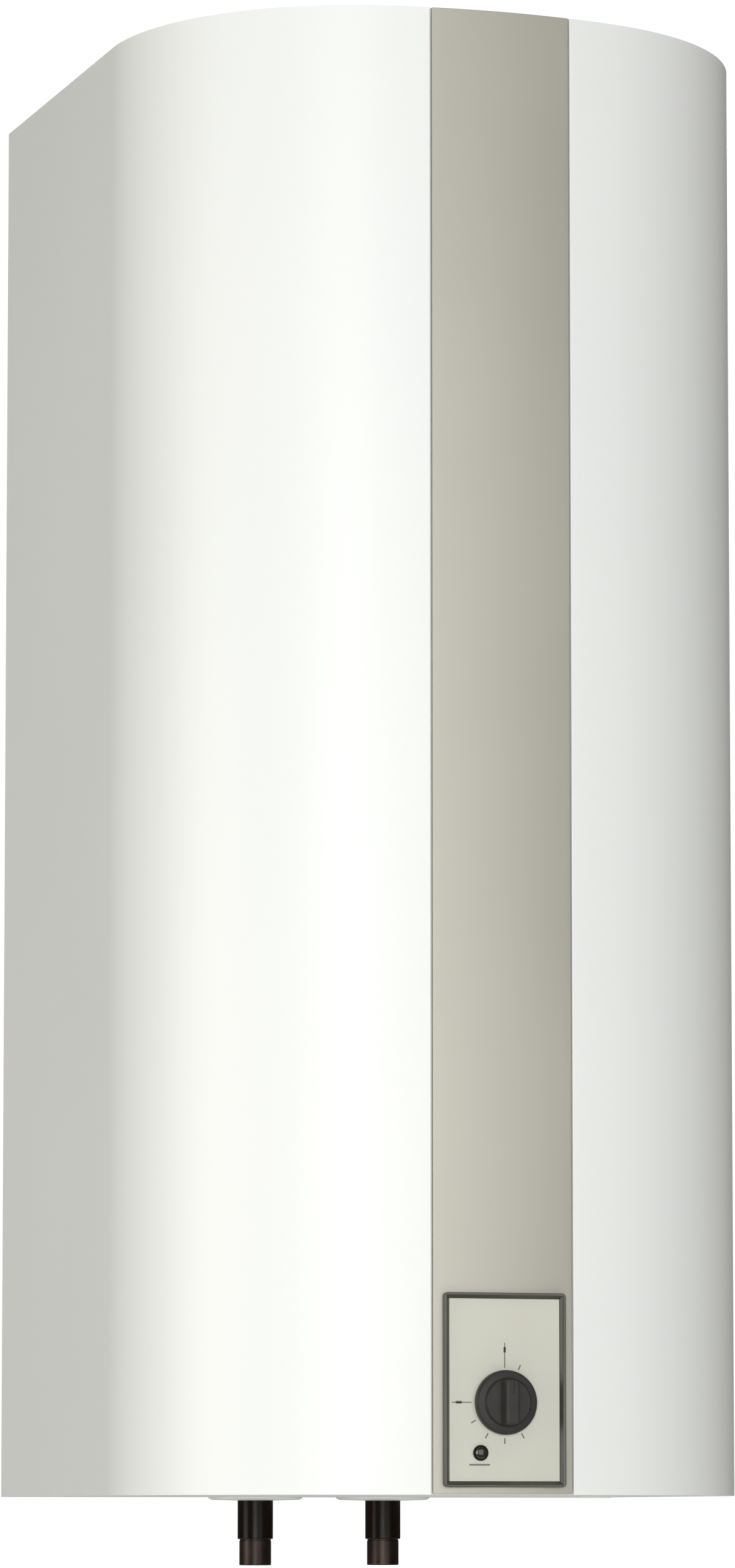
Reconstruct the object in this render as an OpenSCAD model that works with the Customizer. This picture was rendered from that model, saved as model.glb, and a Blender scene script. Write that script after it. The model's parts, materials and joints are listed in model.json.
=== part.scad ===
// Wall-hung electric storage water heater of about 60 litres.
// Frame: +Z up, the front faces -Y, the wall is the plane Y = 0 and the wall screws lie on Z = 0.
// Heights are given above the bottom edge of the casing, and up() turns one into a Z.

/* [Casing] */
// Height of the casing
casing_h = 960; // [880:5:1060]
// Width of the casing
casing_w = 426; // [400:2:460]
// Depth of the casing, from the wall to the middle of the front
casing_d = 442; // [410:2:480]
// Plan radius of the bowed front
front_r = 373; // [340:1:410]
// Plan radius of the rounded front corners
corner_r = 168; // [152:1:176]
// Thickness of the jacket sheet
sheet_t = 1; // [0.8:0.1:1.2]
// Width of the lips folded inwards at both ends of the jacket
lip_w = 14; // [12:1:18]
// Width of the flanges folded inwards along the back of the jacket
rear_flange_w = 24; // [20:1:30]
// Thickness of the top and bottom covers
cover_t = 1.2; // [1:0.1:1.6]
// Seam left round a cover
cover_gap = 0.4; // [0.3:0.1:0.6]
// Distance from the top edge down to the line of the wall screws
screws_below_top = 100; // [90:1:115]

/* [Front strip] */
// Width of the grey front strip
strip_w = 94; // [90:1:104]
// Thickness of the front strip
strip_t = 3.2; // [2.4:0.1:4]
// Shadow gap on either side of the strip
strip_gap = 1; // [0.6:0.1:1.4]
// Clearance between the strip and the channel floor behind it
strip_seat = 0.2; // [0.1:0.1:0.4]
// Height of the strip's lower end above the casing's bottom edge
strip_lift = 0.5; // [0.4:0.1:2]

/* [Back panel and hanger] */
// Thickness of the back panel
back_t = 1; // [0.8:0.1:1.2]
// Depth of the pocket pressed into the back panel round the wall rail
pocket_d = 18; // [17:0.5:22]
// Free space in the pocket round the rail's ends and lower edge
pocket_room = 12; // [8:1:16]
// Length of the wall rail
rail_len = 280; // [260:2:310]
// Thickness of the wall rail
rail_t = 2.5; // [2:0.1:3]
// Reach of the rail below the screw line
rail_down = 20; // [16:1:26]
// Height above the screw line at which the rail steps away from the wall
rail_step = 16; // [14:1:19]
// Height of the rail's upper edge above the screw line
rail_up = 38; // [35:1:42]
// Free gap between the rail's upper lip and the wall
rail_out = 7; // [6:0.5:8]
// Spacing of the two wall screw slots
slot_spacing = 200; // [180:2:220]
// Width of a wall screw slot
slot_w = 9; // [7:0.5:11]
// Overall length of a wall screw slot
slot_len = 26; // [20:1:32]
// Distance of a hanger arm from the middle
hanger_x = 90; // [80:1:100]
// Width of a hanger arm
hanger_w = 36; // [30:1:42]
// Thickness of a hanger arm's hook
hanger_t = 3; // [2:0.5:3.5]
// Gap between a hook's tip and the wall
hook_gap = 2; // [1.5:0.5:2.5]

/* [Tank] */
// Outside diameter of the tank
tank_d = 350; // [320:2:370]
// Wall thickness of the tank
tank_t = 2; // [1.6:0.1:2.6]
// Height of each dished end
dome_h = 55; // [48:1:62]
// Distance from the wall to the back of the tank
rear_insulation = 28; // [25:1:32]
// Height of the lowest point of the tank above the casing's bottom edge
tank_floor = 165; // [158:1:175]
// Insulation between the tank's highest point and the casing's top edge
top_insulation = 55; // [45:1:70]
// Height of the wiring space below the insulation
wiring_h = 140; // [136:1:146]
// Clearance round the insulation
foam_gap = 0.3; // [0.2:0.1:0.5]

/* [Heater flange] */
// Bore of the heater neck
neck_bore_d = 84; // [80:1:90]
// Wall thickness of the heater neck
neck_t = 4; // [3:0.5:5]
// Outside diameter of the neck ring and the heater flange
flange_d = 124; // [118:1:132]
// Thickness of the neck ring
ring_t = 10; // [8:0.5:12]
// Drop from the lowest point of the tank to the face of the neck ring
neck_drop = 23; // [20:0.5:25]
// Thickness of the flange gasket
gasket_t = 3; // [2:0.5:4]
// Thickness of the heater flange
flange_t = 6; // [5:0.5:8]
// Number of flange bolts
bolt_count = 6; // [4:1:8]
// Thread diameter of a flange bolt
bolt_d = 8; // [6:1:8]
// Diameter of the bolt circle
bolt_circle_d = 106; // [104:0.5:108]
// Diameter of the heating element tube
tube_d = 8.5; // [7:0.5:9]
// Length of the hairpins above the heater flange
element_len = 330; // [260:5:400]
// Number of hairpins
hairpin_count = 3; // [2:1:3]
// Distance of the inner leg of a hairpin from the flange's middle
leg_inner = 15; // [14:0.5:16]
// Distance of the outer leg of a hairpin from the flange's middle
leg_outer = 33; // [31:0.5:35]
// Diameter of a terminal pin
pin_d = 4; // [3:0.5:5]
// Reach of a terminal pin below the heater flange
pin_drop = 30; // [26:1:34]
// Outside diameter of the sensor well
well_d = 14; // [13.5:0.1:15]
// Wall thickness of the sensor well
well_t = 1; // [0.8:0.1:1]
// Length of the sensor well above the heater flange
well_len = 280; // [240:5:320]
// Diameter of the anode rod
anode_d = 20; // [16:1:22]
// Length of the anode rod
anode_len = 260; // [200:5:320]
// Distance of the anode from the flange's middle
anode_out = 27; // [26:0.5:28]

/* [Water pipes] */
// Outside diameter of a water pipe
pipe_d = 22; // [18:0.5:24]
// Wall thickness of a water pipe
pipe_t = 1; // [0.8:0.1:1.5]
// Spacing of the two pipes
pipe_spacing = 93; // [84:1:102]
// Distance from the wall to the pipes
pipe_from_wall = 59; // [54:1:64]
// Reach of the pipes below the casing
pipe_drop = 47; // [42:1:60]
// Bare length at a pipe's lower end
pipe_bare = 17; // [14:1:22]
// Wall thickness of a pipe sleeve
sleeve_t = 1.1; // [0.9:0.1:1.6]
// Clearance of a pipe in its sleeve, boss and holes
pipe_fit = 0.15; // [0.1:0.05:0.3]
// Diameter of a rosette
rosette_d = 65; // [58:1:70]
// Thickness of a rosette
rosette_t = 2.4; // [2:0.1:3]
// Wall of a pipe boss welded to the tank
boss_t = 5; // [4:0.5:6]
// Length of the diffuser on the cold inlet
diffuser_len = 60; // [48:1:70]
// Gap between the hot pipe's upper end and the upper seam of the tank
hot_below_seam = 5; // [3:1:10]

/* [Control panel] */
// Width of the panel face
panel_w = 74.5; // [70:0.5:78]
// Height of the panel face
panel_h = 116; // [112:0.5:120]
// Thickness of the panel face
panel_t = 2.5; // [2:0.1:3]
// Width of the dark bezel round the panel face
bezel_border = 3.5; // [3:0.1:4]
// How far the bezel stands in front of the middle of the casing
bezel_proud = 2.4; // [2:0.1:3.5]
// How far the panel face lies behind the bezel's front
panel_sunk = 2; // [1:0.1:2.5]
// Clearance round the panel face
panel_gap = 0.2; // [0.1:0.05:0.3]
// Height of the bezel's lower edge
bezel_lift = 4.8; // [4:0.1:7]
// Depth of the bezel's collar behind the panel face
collar_d = 14; // [12:0.5:18]
// Wall of the bezel's collar
collar_t = 3; // [2.5:0.1:3.5]
// Corner radius of the bezel
bezel_corner = 2.5; // [1.5:0.1:3]
// Width of the slope from the bezel's front down to the panel face
bezel_slope = 1.8; // [1:0.1:2.2]
// Width of a snap hook on the bezel's collar
snap_w = 12; // [8:0.5:16]
// How far a snap hook stands out from the collar
snap_out = 1.4; // [1:0.1:1.8]
// Length of a snap hook
snap_len = 5; // [4:0.5:6]
// Height of the knob's axis above the bezel's lower edge
knob_up = 53.7; // [50:0.1:57]
// Height of the lamp above the bezel's lower edge
lamp_up = 21.7; // [20:0.1:23]
// Distance of the lamp left of the middle
lamp_left = 16.5; // [14:0.1:20]

/* [Knob and thermostat] */
// Diameter of the knob's skirt
knob_d = 41; // [38:0.5:43]
// Height of the knob
knob_h = 16; // [14:0.5:18]
// Height of the knob's skirt
skirt_h = 5; // [4:0.5:6]
// Diameter of the knob's drum
drum_d = 31; // [29:0.5:32]
// Width of the knob's grip bar
grip_w = 11.5; // [10:0.5:13]
// Gap between the knob and the panel face
knob_gap = 0.5; // [0.4:0.1:0.8]
// Diameter of the spindle
spindle_d = 6; // [5:0.1:6.4]
// Radial running clearance of the spindle
spindle_fit = 0.05; // [0.02:0.01:0.1]
// Spacing of the two thermostat screws
stat_screw_spacing = 28; // [26:0.5:30]
// Width of the thermostat housing
stat_w = 44; // [40:1:48]
// Height of the thermostat housing
stat_h = 32; // [28:1:34]
// Depth of the thermostat housing
stat_depth = 28; // [24:1:30]
// Thickness of the control bracket
bracket_t = 1.2; // [1:0.1:1.6]
// Width and height of the safety cut-out
cutout_w = 30; // [26:1:32]
// Depth of the safety cut-out
cutout_depth = 20; // [18:1:24]
// Diameter of the reset button
reset_d = 6; // [5:0.5:7]
// Travel of the reset button
reset_travel = 2; // [1.5:0.5:2.5]

/* [Lamp and wiring] */
// Diameter of the lamp's rim
lamp_d = 10; // [9:0.1:11]
// Diameter of the lamp's barrel
lamp_barrel_d = 8; // [7.5:0.1:8.5]
// Length of the lamp's barrel behind the panel
lamp_len = 22; // [18:1:26]
// Length of the terminal block
block_len = 46; // [42:1:50]
// Width of the terminal block
block_w = 24; // [22:1:27]
// Height of the terminal block
block_h = 20; // [18:1:24]
// Distance of the terminal block right of the middle
block_x = 95; // [92:1:100]
// Distance of the terminal block from the wall
block_from_wall = 300; // [296:1:304]
// Bore of the cable grommet
grommet_bore_d = 10; // [8:0.5:11]
// Diameter of the hole that holds the grommet
grommet_hole_d = 18; // [16:0.5:20]
// Distance of the grommet right of the middle
grommet_x = 140; // [134:1:146]
// Distance of the grommet from the wall
grommet_from_wall = 230; // [220:1:240]
// Diameter of an internal lead
lead_d = 3.2; // [2.6:0.1:3.6]
// Diameter of a capillary tube
capillary_d = 2; // [1.6:0.1:2.2]

/* [Hidden] */
$fn = 96;
small = 32;
reach = 2 * casing_d;

// Plan of the casing: the front's arc, the corner arcs and the flat flanks meet at shared tangents.
arc_y = front_r - casing_d;
corner_x = casing_w / 2 - corner_r;
corner_y = arc_y - sqrt(pow(front_r - corner_r, 2) - pow(corner_x, 2));
arc_half = asin(corner_x / (front_r - corner_r));
casing_drop = casing_h - screws_below_top;
channel_half = strip_w / 2 + strip_gap;
channel_d = strip_t + strip_seat;
back_y = -(sheet_t + back_t);

// Tank and its dished ends
tank_r = tank_d / 2;
tank_y = -(rear_insulation + tank_r);
dome_r = (pow(tank_r, 2) + pow(dome_h, 2)) / (2 * dome_h);
lower_seam = tank_floor + dome_h;
upper_seam = casing_h - top_insulation - dome_h;
shell_len = upper_seam - lower_seam;
weld_gap = 0.1;

// Heater flange stack, from the neck ring down
ring_face = tank_floor - neck_drop;
flange_top = ring_face - gasket_t;
flange_bottom = flange_top - flange_t;
neck_r = neck_bore_d / 2 + neck_t;
neck_in = 8;
bolt_fit = 0.2;
bolt_head_h = 5.5;
bolt_head_d = 13;
bolt_grip = 8;
leg_fit = 0.1;
leg_stub = 10;
bend_r = (leg_outer - leg_inner) / 2;
bead_h = 5;
bead_d = 10;
link_t = 1.5;
link_w = 9;
link_up = 8;
well_stub = 4;
anode_turn = 30;
anode_stud_d = 8;
anode_nut_h = 6.5;
anode_nut_d = 15;
earth_turn = 285;
earth_out = 45;
earth_d = 5;
earth_drop = 15;

// Water pipes
pipe_x = pipe_spacing / 2;
pipe_y = -pipe_from_wall;
sleeve_r = pipe_d / 2 + pipe_fit + sleeve_t;
sleeve_top = 8;
sleeve_gap = 1;
pipe_ease = 0.3;
diffuser_wall = 2;

// Control panel stack, as distances in front of the wall plane
bezel_y = -(casing_d + bezel_proud);
panel_y = bezel_y + panel_sunk;
panel_back_y = panel_y + panel_t;
ledge_y = panel_back_y + panel_gap;
window_w = panel_w + 2 * panel_gap;
window_h = panel_h + 2 * panel_gap;
bezel_w = window_w + 2 * bezel_border;
bezel_h = window_h + 2 * bezel_border;
ledge_w = 1.5;
collar_fit = 0.5;
collar_w = window_w - 2 * ledge_w + 2 * collar_t;
collar_h = window_h - 2 * ledge_w + 2 * collar_t;
bezel_mid = bezel_lift + bezel_h / 2;
snap_gap = 0.3;
snap_y = arc_y - sqrt(pow(front_r - channel_d - sheet_t, 2) - pow(collar_w / 2 + snap_out, 2)) + snap_gap;
knob_z = up(bezel_lift + knob_up);
knob_y = panel_y - knob_gap;
lamp_z = up(bezel_lift + lamp_up);
stat_y = panel_back_y + bracket_t;
stat_back_y = stat_y + stat_depth;
bracket_half = 24;
bracket_step = 9;
bracket_foot = 16.5;
bracket_bend = stat_h / 2 + 4;
cutout_up = bracket_bend + cutout_w / 2 + 5;
bracket_top = cutout_up + cutout_w / 2 + 3;
cutout_y = stat_y + bracket_step;
cutout_z = knob_z + cutout_up;
cutout_back_y = cutout_y + cutout_depth;
bush_d = 9;
bush_fit = 0.4;
stat_bore_d = spindle_d + 2 * spindle_fit;
spindle_in = 10;
spindle_end_gap = 0.5;
flat_depth = 1.4;
flat_len = 11;
knob_fit = 0.1;
knob_wall = 2.2;
knob_hollow = 3.6;
hub_d = 12;
tab_w = 6.3;
tab_t = 0.8;
tab_len = 8;
stat_shoulder = 2;
housing_corner = 2;
stat_tab_x = 14;
stat_tab_up = 9;
cutout_tab_x = 9;
cutout_tab_drop = 6;
reset_fit = 0.25;
reset_proud = 4;
reset_depth = 5;
screw_d = 4;
screw_head_d = 7.4;
screw_head_h = 1.8;
screw_fit = 0.15;
screw_grip = 9;
small_screw_d = 3;
small_head_d = 5.6;
small_screw_x = 11.5;

// Terminal block and the places where leads and capillary tubes end
pole_pitch = 14;
pole_count = 3;
lead_gap = 0.4;
bulb_len = 78;
bulb_room = 11;
bulb_stagger = 20;
bulb_base = flange_top + well_len - bulb_len - bulb_room;
stat_bulb_x = -2.8;
cutout_bulb_x = 3.2;
well_at = [0, tank_y, up(flange_bottom)];
stat_at = [0, stat_back_y + lead_gap, knob_z];
cutout_at = [0, cutout_back_y + lead_gap, cutout_z];
block_at = [block_x - block_w / 2 - lead_gap, -block_from_wall, up(cover_t + block_h / 2)];
pole_step = [0, pole_pitch, 0];
cutout_tab = cutout_at + [0, tab_len, -cutout_tab_drop];
stat_tab = stat_at + [0, tab_len, stat_tab_up];
pin_z = -pin_drop - lead_gap;
heat_turn = 90 + 360 / hairpin_count;
neutral_turn = 90 - 360 / hairpin_count;
heat_pin = well_at + [leg_outer * cos(heat_turn), leg_outer * sin(heat_turn), pin_z];
neutral_pin = well_at + [leg_inner * cos(neutral_turn), leg_inner * sin(neutral_turn), pin_z];
earth_pin = well_at + [earth_out * cos(earth_turn), earth_out * sin(earth_turn), -earth_drop - lead_gap];

// Routes of the capillary tubes and the internal leads, which hang inside the wiring space
stat_route = [[stat_bulb_x, tank_y, up(bulb_base)], [stat_bulb_x, tank_y, up(lower_seam)],
    well_at + [stat_bulb_x, 0, -18], well_at + [-4, -5, -39], well_at + [-8, -32, -53],
    stat_at + [-12, 113, 5], stat_at + [-10, 43, -7], stat_at + [-10, 13, -9], stat_at + [-10, 0, -9]];
cutout_route = [[cutout_bulb_x, tank_y, up(bulb_base - bulb_stagger)],
    [cutout_bulb_x, tank_y, up(lower_seam)],
    well_at + [cutout_bulb_x, 0, -13], well_at + [4, -5, -31], well_at + [7, -32, -39],
    cutout_at + [8, 112, -3], cutout_at + [2, 42, 6], cutout_at + [0, 14, 7], cutout_at + [0, 0, 7]];
supply_route = [block_at - pole_step, block_at - pole_step + [-13, 0, 0],
    block_at - pole_step + [-35, -16, 6],
    stat_at + [32, 51, -23], stat_at + [22, 37, 7], cutout_tab + [12, 20, -6],
    cutout_tab + [cutout_tab_x, 13, 0], cutout_tab + [cutout_tab_x, 0, 0]];
link_route = [cutout_tab + [-cutout_tab_x, 0, 0], cutout_tab + [-cutout_tab_x, 10, 0],
    cutout_tab + [-11, 20, -7], stat_tab + [-13, 21, 7], stat_tab + [-stat_tab_x, 11, 0],
    stat_tab + [-stat_tab_x, 0, 0]];
heat_route = [stat_tab + [stat_tab_x, 0, 0], stat_tab + [stat_tab_x, 13, 0], stat_tab + [8, 45, 6],
    stat_tab + [-8, 95, 14], heat_pin + [7, -35, -28], heat_pin + [1, -7, -29], heat_pin + [0, 0, -18],
    heat_pin];
neutral_route = [block_at, block_at + [-13, 0, 0], block_at + [-38, 15, 11], block_at + [-59, 55, 37],
    neutral_pin + [1, -6, -33], neutral_pin + [0, 0, -15], neutral_pin];
earth_route = [block_at + pole_step, block_at + pole_step + [-13, 0, 0], block_at + pole_step + [-38, 14, 23],
    earth_pin + [10, -8, -48], earth_pin + [0, 0, -22], earth_pin];

function up(height) = height - casing_drop;

// Plan outline of the casing, drawn inwards by inset, with its straight back at y = back
module plan(inset = 0, back = 0) {
    ray = [sin(arc_half), -cos(arc_half)];
    translate([0, arc_y]) intersection() {
        circle(front_r - inset);
        polygon([[0, 0], reach * [-ray.x, ray.y], reach * ray]);
    }
    for (side = [-1, 1])
        translate([side * corner_x, corner_y]) intersection() {
            circle(corner_r - inset);
            polygon([[0, 0], reach * [side * ray.x, ray.y], reach * [side, -1], reach * [side, 0]]);
        }
    translate([inset - casing_w / 2, corner_y]) square([casing_w - 2 * inset, back - corner_y]);
}

// Band of the bowed front, half wide on each side, between two depths behind the casing's face
module front_band(half, outer, inner) {
    translate([0, arc_y]) intersection() {
        difference() {
            circle(front_r - outer);
            circle(front_r - inner);
        }
        translate([-half, -front_r - lip_w]) square([2 * half, front_r / 2]);
    }
}

// Space inside the jacket, kept clear of its sheet by gap
module inside(gap, back) {
    wall = sheet_t + gap;
    difference() {
        plan(wall, back);
        front_band(channel_half + wall, -lip_w / 2, channel_d + wall);
    }
}

module rounded(w, h, r) {
    square([w - 2 * r, h], center = true);
    square([w, h - 2 * r], center = true);
    for (x = [-1, 1], y = [-1, 1])
        translate([x * (w / 2 - r), y * (h / 2 - r)]) intersection() {
            circle(r, $fn = small);
            translate([min(x, 0) * r, min(y, 0) * r]) square(r);
        }
}

// Places a drawing that faces the viewer: its X stays, its Y becomes up, its Z comes out of the front
module facing(x, y, z) {
    translate([x, y, z]) rotate([90, 0, 0]) children();
}

module along_x(length) {
    rotate([90, 0, 90]) linear_extrude(length, center = true) children();
}

module tube(outer_r, inner_r, h) {
    difference() {
        cylinder(r = outer_r, h = h);
        translate([0, 0, -1]) cylinder(r = inner_r, h = h + 2);
    }
}

module at_tank(height) {
    translate([0, tank_y, up(height)]) children();
}

module at_pipe(side, height) {
    translate([side * pipe_x, pipe_y, up(height)]) children();
}

// The tank's closed outer form, grown by grow
module tank_form(grow) {
    at_tank(lower_seam) cylinder(r = tank_r + grow, h = shell_len);
    at_tank(upper_seam) dome_cap(dome_r + grow);
    at_tank(lower_seam) mirror([0, 0, 1]) dome_cap(dome_r + grow);
}

module dome_cap(r) {
    intersection() {
        translate([0, 0, dome_h - dome_r]) sphere(r);
        cylinder(r = tank_r + lip_w, h = 2 * dome_h);
    }
}

module dome_shell() {
    rotate_extrude() intersection() {
        translate([0, dome_h - dome_r]) difference() {
            circle(dome_r);
            circle(dome_r - tank_t);
        }
        square([tank_r, dome_h]);
    }
}

// Places of the cover screws on each side: near the back, at the front end of the flank, on the corner arc
cover_screw_in = sheet_t + lip_w / 2;
cover_screw_places = [for (side = [-1, 1]) each [
    [side * (casing_w / 2 - cover_screw_in), -2 * lip_w],
    [side * (casing_w / 2 - cover_screw_in), corner_y],
    [side * (corner_x + (corner_r - cover_screw_in) * sin(45)),
        corner_y - (corner_r - cover_screw_in) * cos(45)]]];
cover_screw_d = 3.5;
cover_screw_len = 9;
cover_head_d = 6.5;

// A cover plate with countersunk holes, lying flush in the end of the jacket
module cover_plate() {
    difference() {
        linear_extrude(cover_t) inside(cover_gap, -(sheet_t + cover_gap));
        for (place = cover_screw_places)
            translate(place) countersink(screw_fit);
    }
}

module countersink(grow) {
    slope = (cover_head_d - cover_screw_d) / cover_t;
    translate([0, 0, -grow])
        cylinder(d1 = cover_head_d + (2 + slope) * grow, d2 = cover_screw_d + 2 * grow, h = cover_t + grow);
    cylinder(d = cover_screw_d + 2 * grow, h = cover_screw_len + 2 * grow);
}

module cover_screw() {
    cylinder(d1 = cover_head_d, d2 = cover_screw_d, h = cover_t);
    cylinder(d = cover_screw_d, h = cover_screw_len);
}

// White sheet steel wrapped round the front and flanks, with a channel for the strip
module jacket() {
    color("white") difference() {
        union() {
            translate([0, 0, up(0)]) linear_extrude(casing_h) difference() {
                plan();
                front_band(channel_half, -lip_w / 2, channel_d);
                inside(0, -sheet_t);
                translate([rear_flange_w - casing_w / 2, -2 * sheet_t])
                    square([casing_w - 2 * rear_flange_w, 4 * sheet_t]);
            }
            for (height = [cover_t, casing_h - cover_t - sheet_t])
                translate([0, 0, up(height)]) linear_extrude(sheet_t) difference() {
                    plan();
                    front_band(channel_half, -lip_w / 2, channel_d);
                    plan(sheet_t + lip_w, -sheet_t - lip_w);
                }
        }
        facing(0, -casing_d + lip_w, up(bezel_mid)) linear_extrude(2 * lip_w)
            square([collar_w + 2 * collar_fit, collar_h + 2 * collar_fit], center = true);
        translate([0, 0, up(0)]) for (place = cover_screw_places)
            translate(place) cylinder(d = cover_screw_d + 2 * screw_fit, h = cover_screw_len);
        translate([0, 0, up(casing_h)]) mirror([0, 0, 1]) for (place = cover_screw_places)
            translate(place) cylinder(d = cover_screw_d + 2 * screw_fit, h = cover_screw_len);
    }
}

plug_hole_d = 24;
plug_fit = 0.2;
plug_y = -casing_d / 4;

module top_cover() {
    color("white") translate([0, 0, up(casing_h)]) mirror([0, 0, 1]) difference() {
        cover_plate();
        translate([0, plug_y, -1]) cylinder(d = plug_hole_d, h = cover_t + 2);
    }
}

module top_cover_screws() {
    color("silver") translate([0, 0, up(casing_h)]) mirror([0, 0, 1])
        for (place = cover_screw_places) translate(place) cover_screw();
}

// Plug in the hole through which the insulation is poured
module foam_plug() {
    plug_lip = 3;
    plug_head = 1.4;
    color("white") translate([0, plug_y, up(casing_h)]) {
        cylinder(d1 = plug_hole_d + 2 * plug_lip, d2 = plug_hole_d, h = plug_head);
        translate([0, 0, -cover_t - sheet_t]) cylinder(d = plug_hole_d - 2 * plug_fit, h = cover_t + sheet_t);
    }
}

module bottom_cover() {
    color("white") difference() {
        translate([0, 0, up(0)]) cover_plate();
        for (side = [-1, 1])
            at_pipe(side, -1) cylinder(r = sleeve_r + pipe_fit, h = cover_t + 2);
        translate([grommet_x, -grommet_from_wall, up(-1)]) cylinder(d = grommet_hole_d, h = cover_t + 2);
    }
}

module bottom_cover_screws() {
    color("silver") translate([0, 0, up(0)]) for (place = cover_screw_places) translate(place) cover_screw();
}

pocket_half = rail_len / 2 + pocket_room;
pocket_low = -rail_down - pocket_room;
pocket_high = rail_up + hanger_t + pocket_room;
hook_rest = 0.3;
hook_room = 3.5;
hook_depth = 16;
arm_fit = 1;
arm_drop = 95;

// Galvanised back sheet behind the flanges, with a pocket for the rail and slots for the hanger arms
module back_panel() {
    panel_edge = cover_t + sheet_t + cover_gap;
    half = casing_w / 2 - sheet_t - cover_gap;
    color("lightgray") difference() {
        union() {
            translate([-half, back_y, up(panel_edge)]) cube([2 * half, back_t, casing_h - 2 * panel_edge]);
            translate([-pocket_half - back_t, -pocket_d - back_t, pocket_low - back_t])
                cube([2 * (pocket_half + back_t), pocket_d - sheet_t, pocket_high - pocket_low + 2 * back_t]);
        }
        translate([-pocket_half, -pocket_d, pocket_low])
            cube([2 * pocket_half, pocket_d + 1, pocket_high - pocket_low]);
        for (side = [-1, 1])
            translate([side * hanger_x, 0, 0]) along_x(hanger_w + 2 * arm_fit) intersection() {
                hanger_outline(arm_fit);
                translate([-pocket_d - 2 * back_t, -reach / 2]) square([3 * back_t, reach]);
            }
    }
}

// Side view of a hanger arm: its root on the tank, the arm and the hook over the rail's lip
module hanger_outline(grow) {
    half_out = hanger_x + hanger_w / 2;
    root_y = tank_y + sqrt(pow(tank_r, 2) - pow(half_out, 2)) - pipe_d / 2;
    arm_y = -(rail_out + rail_t + hook_room);
    web_z = rail_up + hook_rest;
    root_z = up(upper_seam) - 2 * hanger_t;
    tip_z = web_z - hook_depth;
    polygon([
        [-hook_gap + grow, tip_z - grow], [-hook_gap + grow, web_z + hanger_t + grow],
        [arm_y - 2 * hanger_t, web_z + hanger_t + grow], [root_y, root_z + grow],
        [root_y, root_z - arm_drop / 2 - grow], [arm_y + grow, -grow],
        [arm_y + grow, web_z - grow], [-hook_gap - hanger_t - grow, web_z - grow],
        [-hook_gap - hanger_t - grow, tip_z - grow]]);
}

// Two steel arms welded to the tank, whose hooks hang on the wall rail
module hanger_arms() {
    color("dimgray") difference() {
        for (side = [-1, 1])
            translate([side * hanger_x, 0, 0]) along_x(hanger_w) hanger_outline(0);
        at_tank(lower_seam) cylinder(r = tank_r + weld_gap, h = shell_len + dome_h);
    }
}

// Stepped steel rail that is screwed to the wall
module wall_rail() {
    lip_y = -(rail_out + rail_t);
    color("gainsboro") difference() {
        along_x(rail_len) polygon([
            [0, -rail_down], [0, rail_step], [-rail_out, rail_step], [-rail_out, rail_up],
            [lip_y, rail_up], [lip_y, rail_step - rail_t], [-rail_t, rail_step - rail_t],
            [-rail_t, -rail_down]]);
        for (side = [-1, 1])
            facing(side * slot_spacing / 2, 1, 0) linear_extrude(rail_t + 2) {
                square([slot_len - slot_w, slot_w], center = true);
                for (end = [-1, 1])
                    translate([end * (slot_len - slot_w) / 2, 0]) circle(d = slot_w);
            }
    }
}

// Grey trim strip that lies flush in the jacket's channel
module front_strip() {
    color("darkgray") difference() {
        translate([0, 0, up(strip_lift)]) linear_extrude(casing_h - strip_lift)
            front_band(strip_w / 2, 0, strip_t);
        facing(0, -casing_d + lip_w, up(bezel_mid)) linear_extrude(2 * lip_w)
            square([collar_w + 2 * collar_fit, collar_h + 2 * collar_fit], center = true);
    }
}

// Insulation round the tank, before it is split into a front and a rear half
module foam_block() {
    top = casing_h - cover_t - sheet_t - foam_gap;
    skin = back_t + foam_gap;
    difference() {
        translate([0, 0, up(wiring_h)]) linear_extrude(top - wiring_h) inside(foam_gap, back_y - foam_gap);
        tank_form(foam_gap);
        at_tank(wiring_h - 1)
            cylinder(d = flange_d + 2 * bolt_head_d, h = tank_floor - wiring_h + dome_h / 2);
        for (side = [-1, 1]) {
            at_pipe(side, wiring_h - 1)
                cylinder(r = pipe_d / 2 + boss_t + foam_gap, h = lower_seam - wiring_h);
            translate([side * hanger_x, 0, 0]) along_x(hanger_w + 2 * arm_fit) hanger_outline(arm_fit);
        }
        translate([-pocket_half - skin, -pocket_d - skin, pocket_low - skin])
            cube([2 * (pocket_half + skin), pocket_d, pocket_high - pocket_low + 2 * skin]);
        translate([0, plug_y, up(top - sheet_t)]) cylinder(d = plug_hole_d, h = 2 * sheet_t);
        translate([0, 0, up(casing_h)]) mirror([0, 0, 1]) for (place = cover_screw_places)
            translate(place) cylinder(d = cover_screw_d + 2 * foam_gap, h = cover_screw_len + foam_gap);
    }
}

module foam_front() {
    color("khaki") intersection() {
        foam_block();
        translate([-casing_w, tank_y - foam_gap / 2 - reach, up(0)]) cube([2 * casing_w, reach, casing_h]);
    }
}

module foam_rear() {
    color("khaki") intersection() {
        foam_block();
        translate([-casing_w, tank_y + foam_gap / 2, up(0)]) cube([2 * casing_w, reach, casing_h]);
    }
}

module tank_shell() {
    color("steelblue") at_tank(lower_seam) tube(tank_r, tank_r - tank_t, shell_len);
}

module tank_top_dome() {
    color("steelblue") at_tank(upper_seam) dome_shell();
}

module tank_bottom_dome() {
    color("steelblue") difference() {
        at_tank(lower_seam) mirror([0, 0, 1]) dome_shell();
        at_tank(ring_face) cylinder(r = neck_r + weld_gap, h = 2 * dome_h);
        for (side = [-1, 1])
            at_pipe(side, ring_face) cylinder(r = pipe_d / 2 + pipe_fit, h = 2 * dome_h);
    }
}

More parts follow.
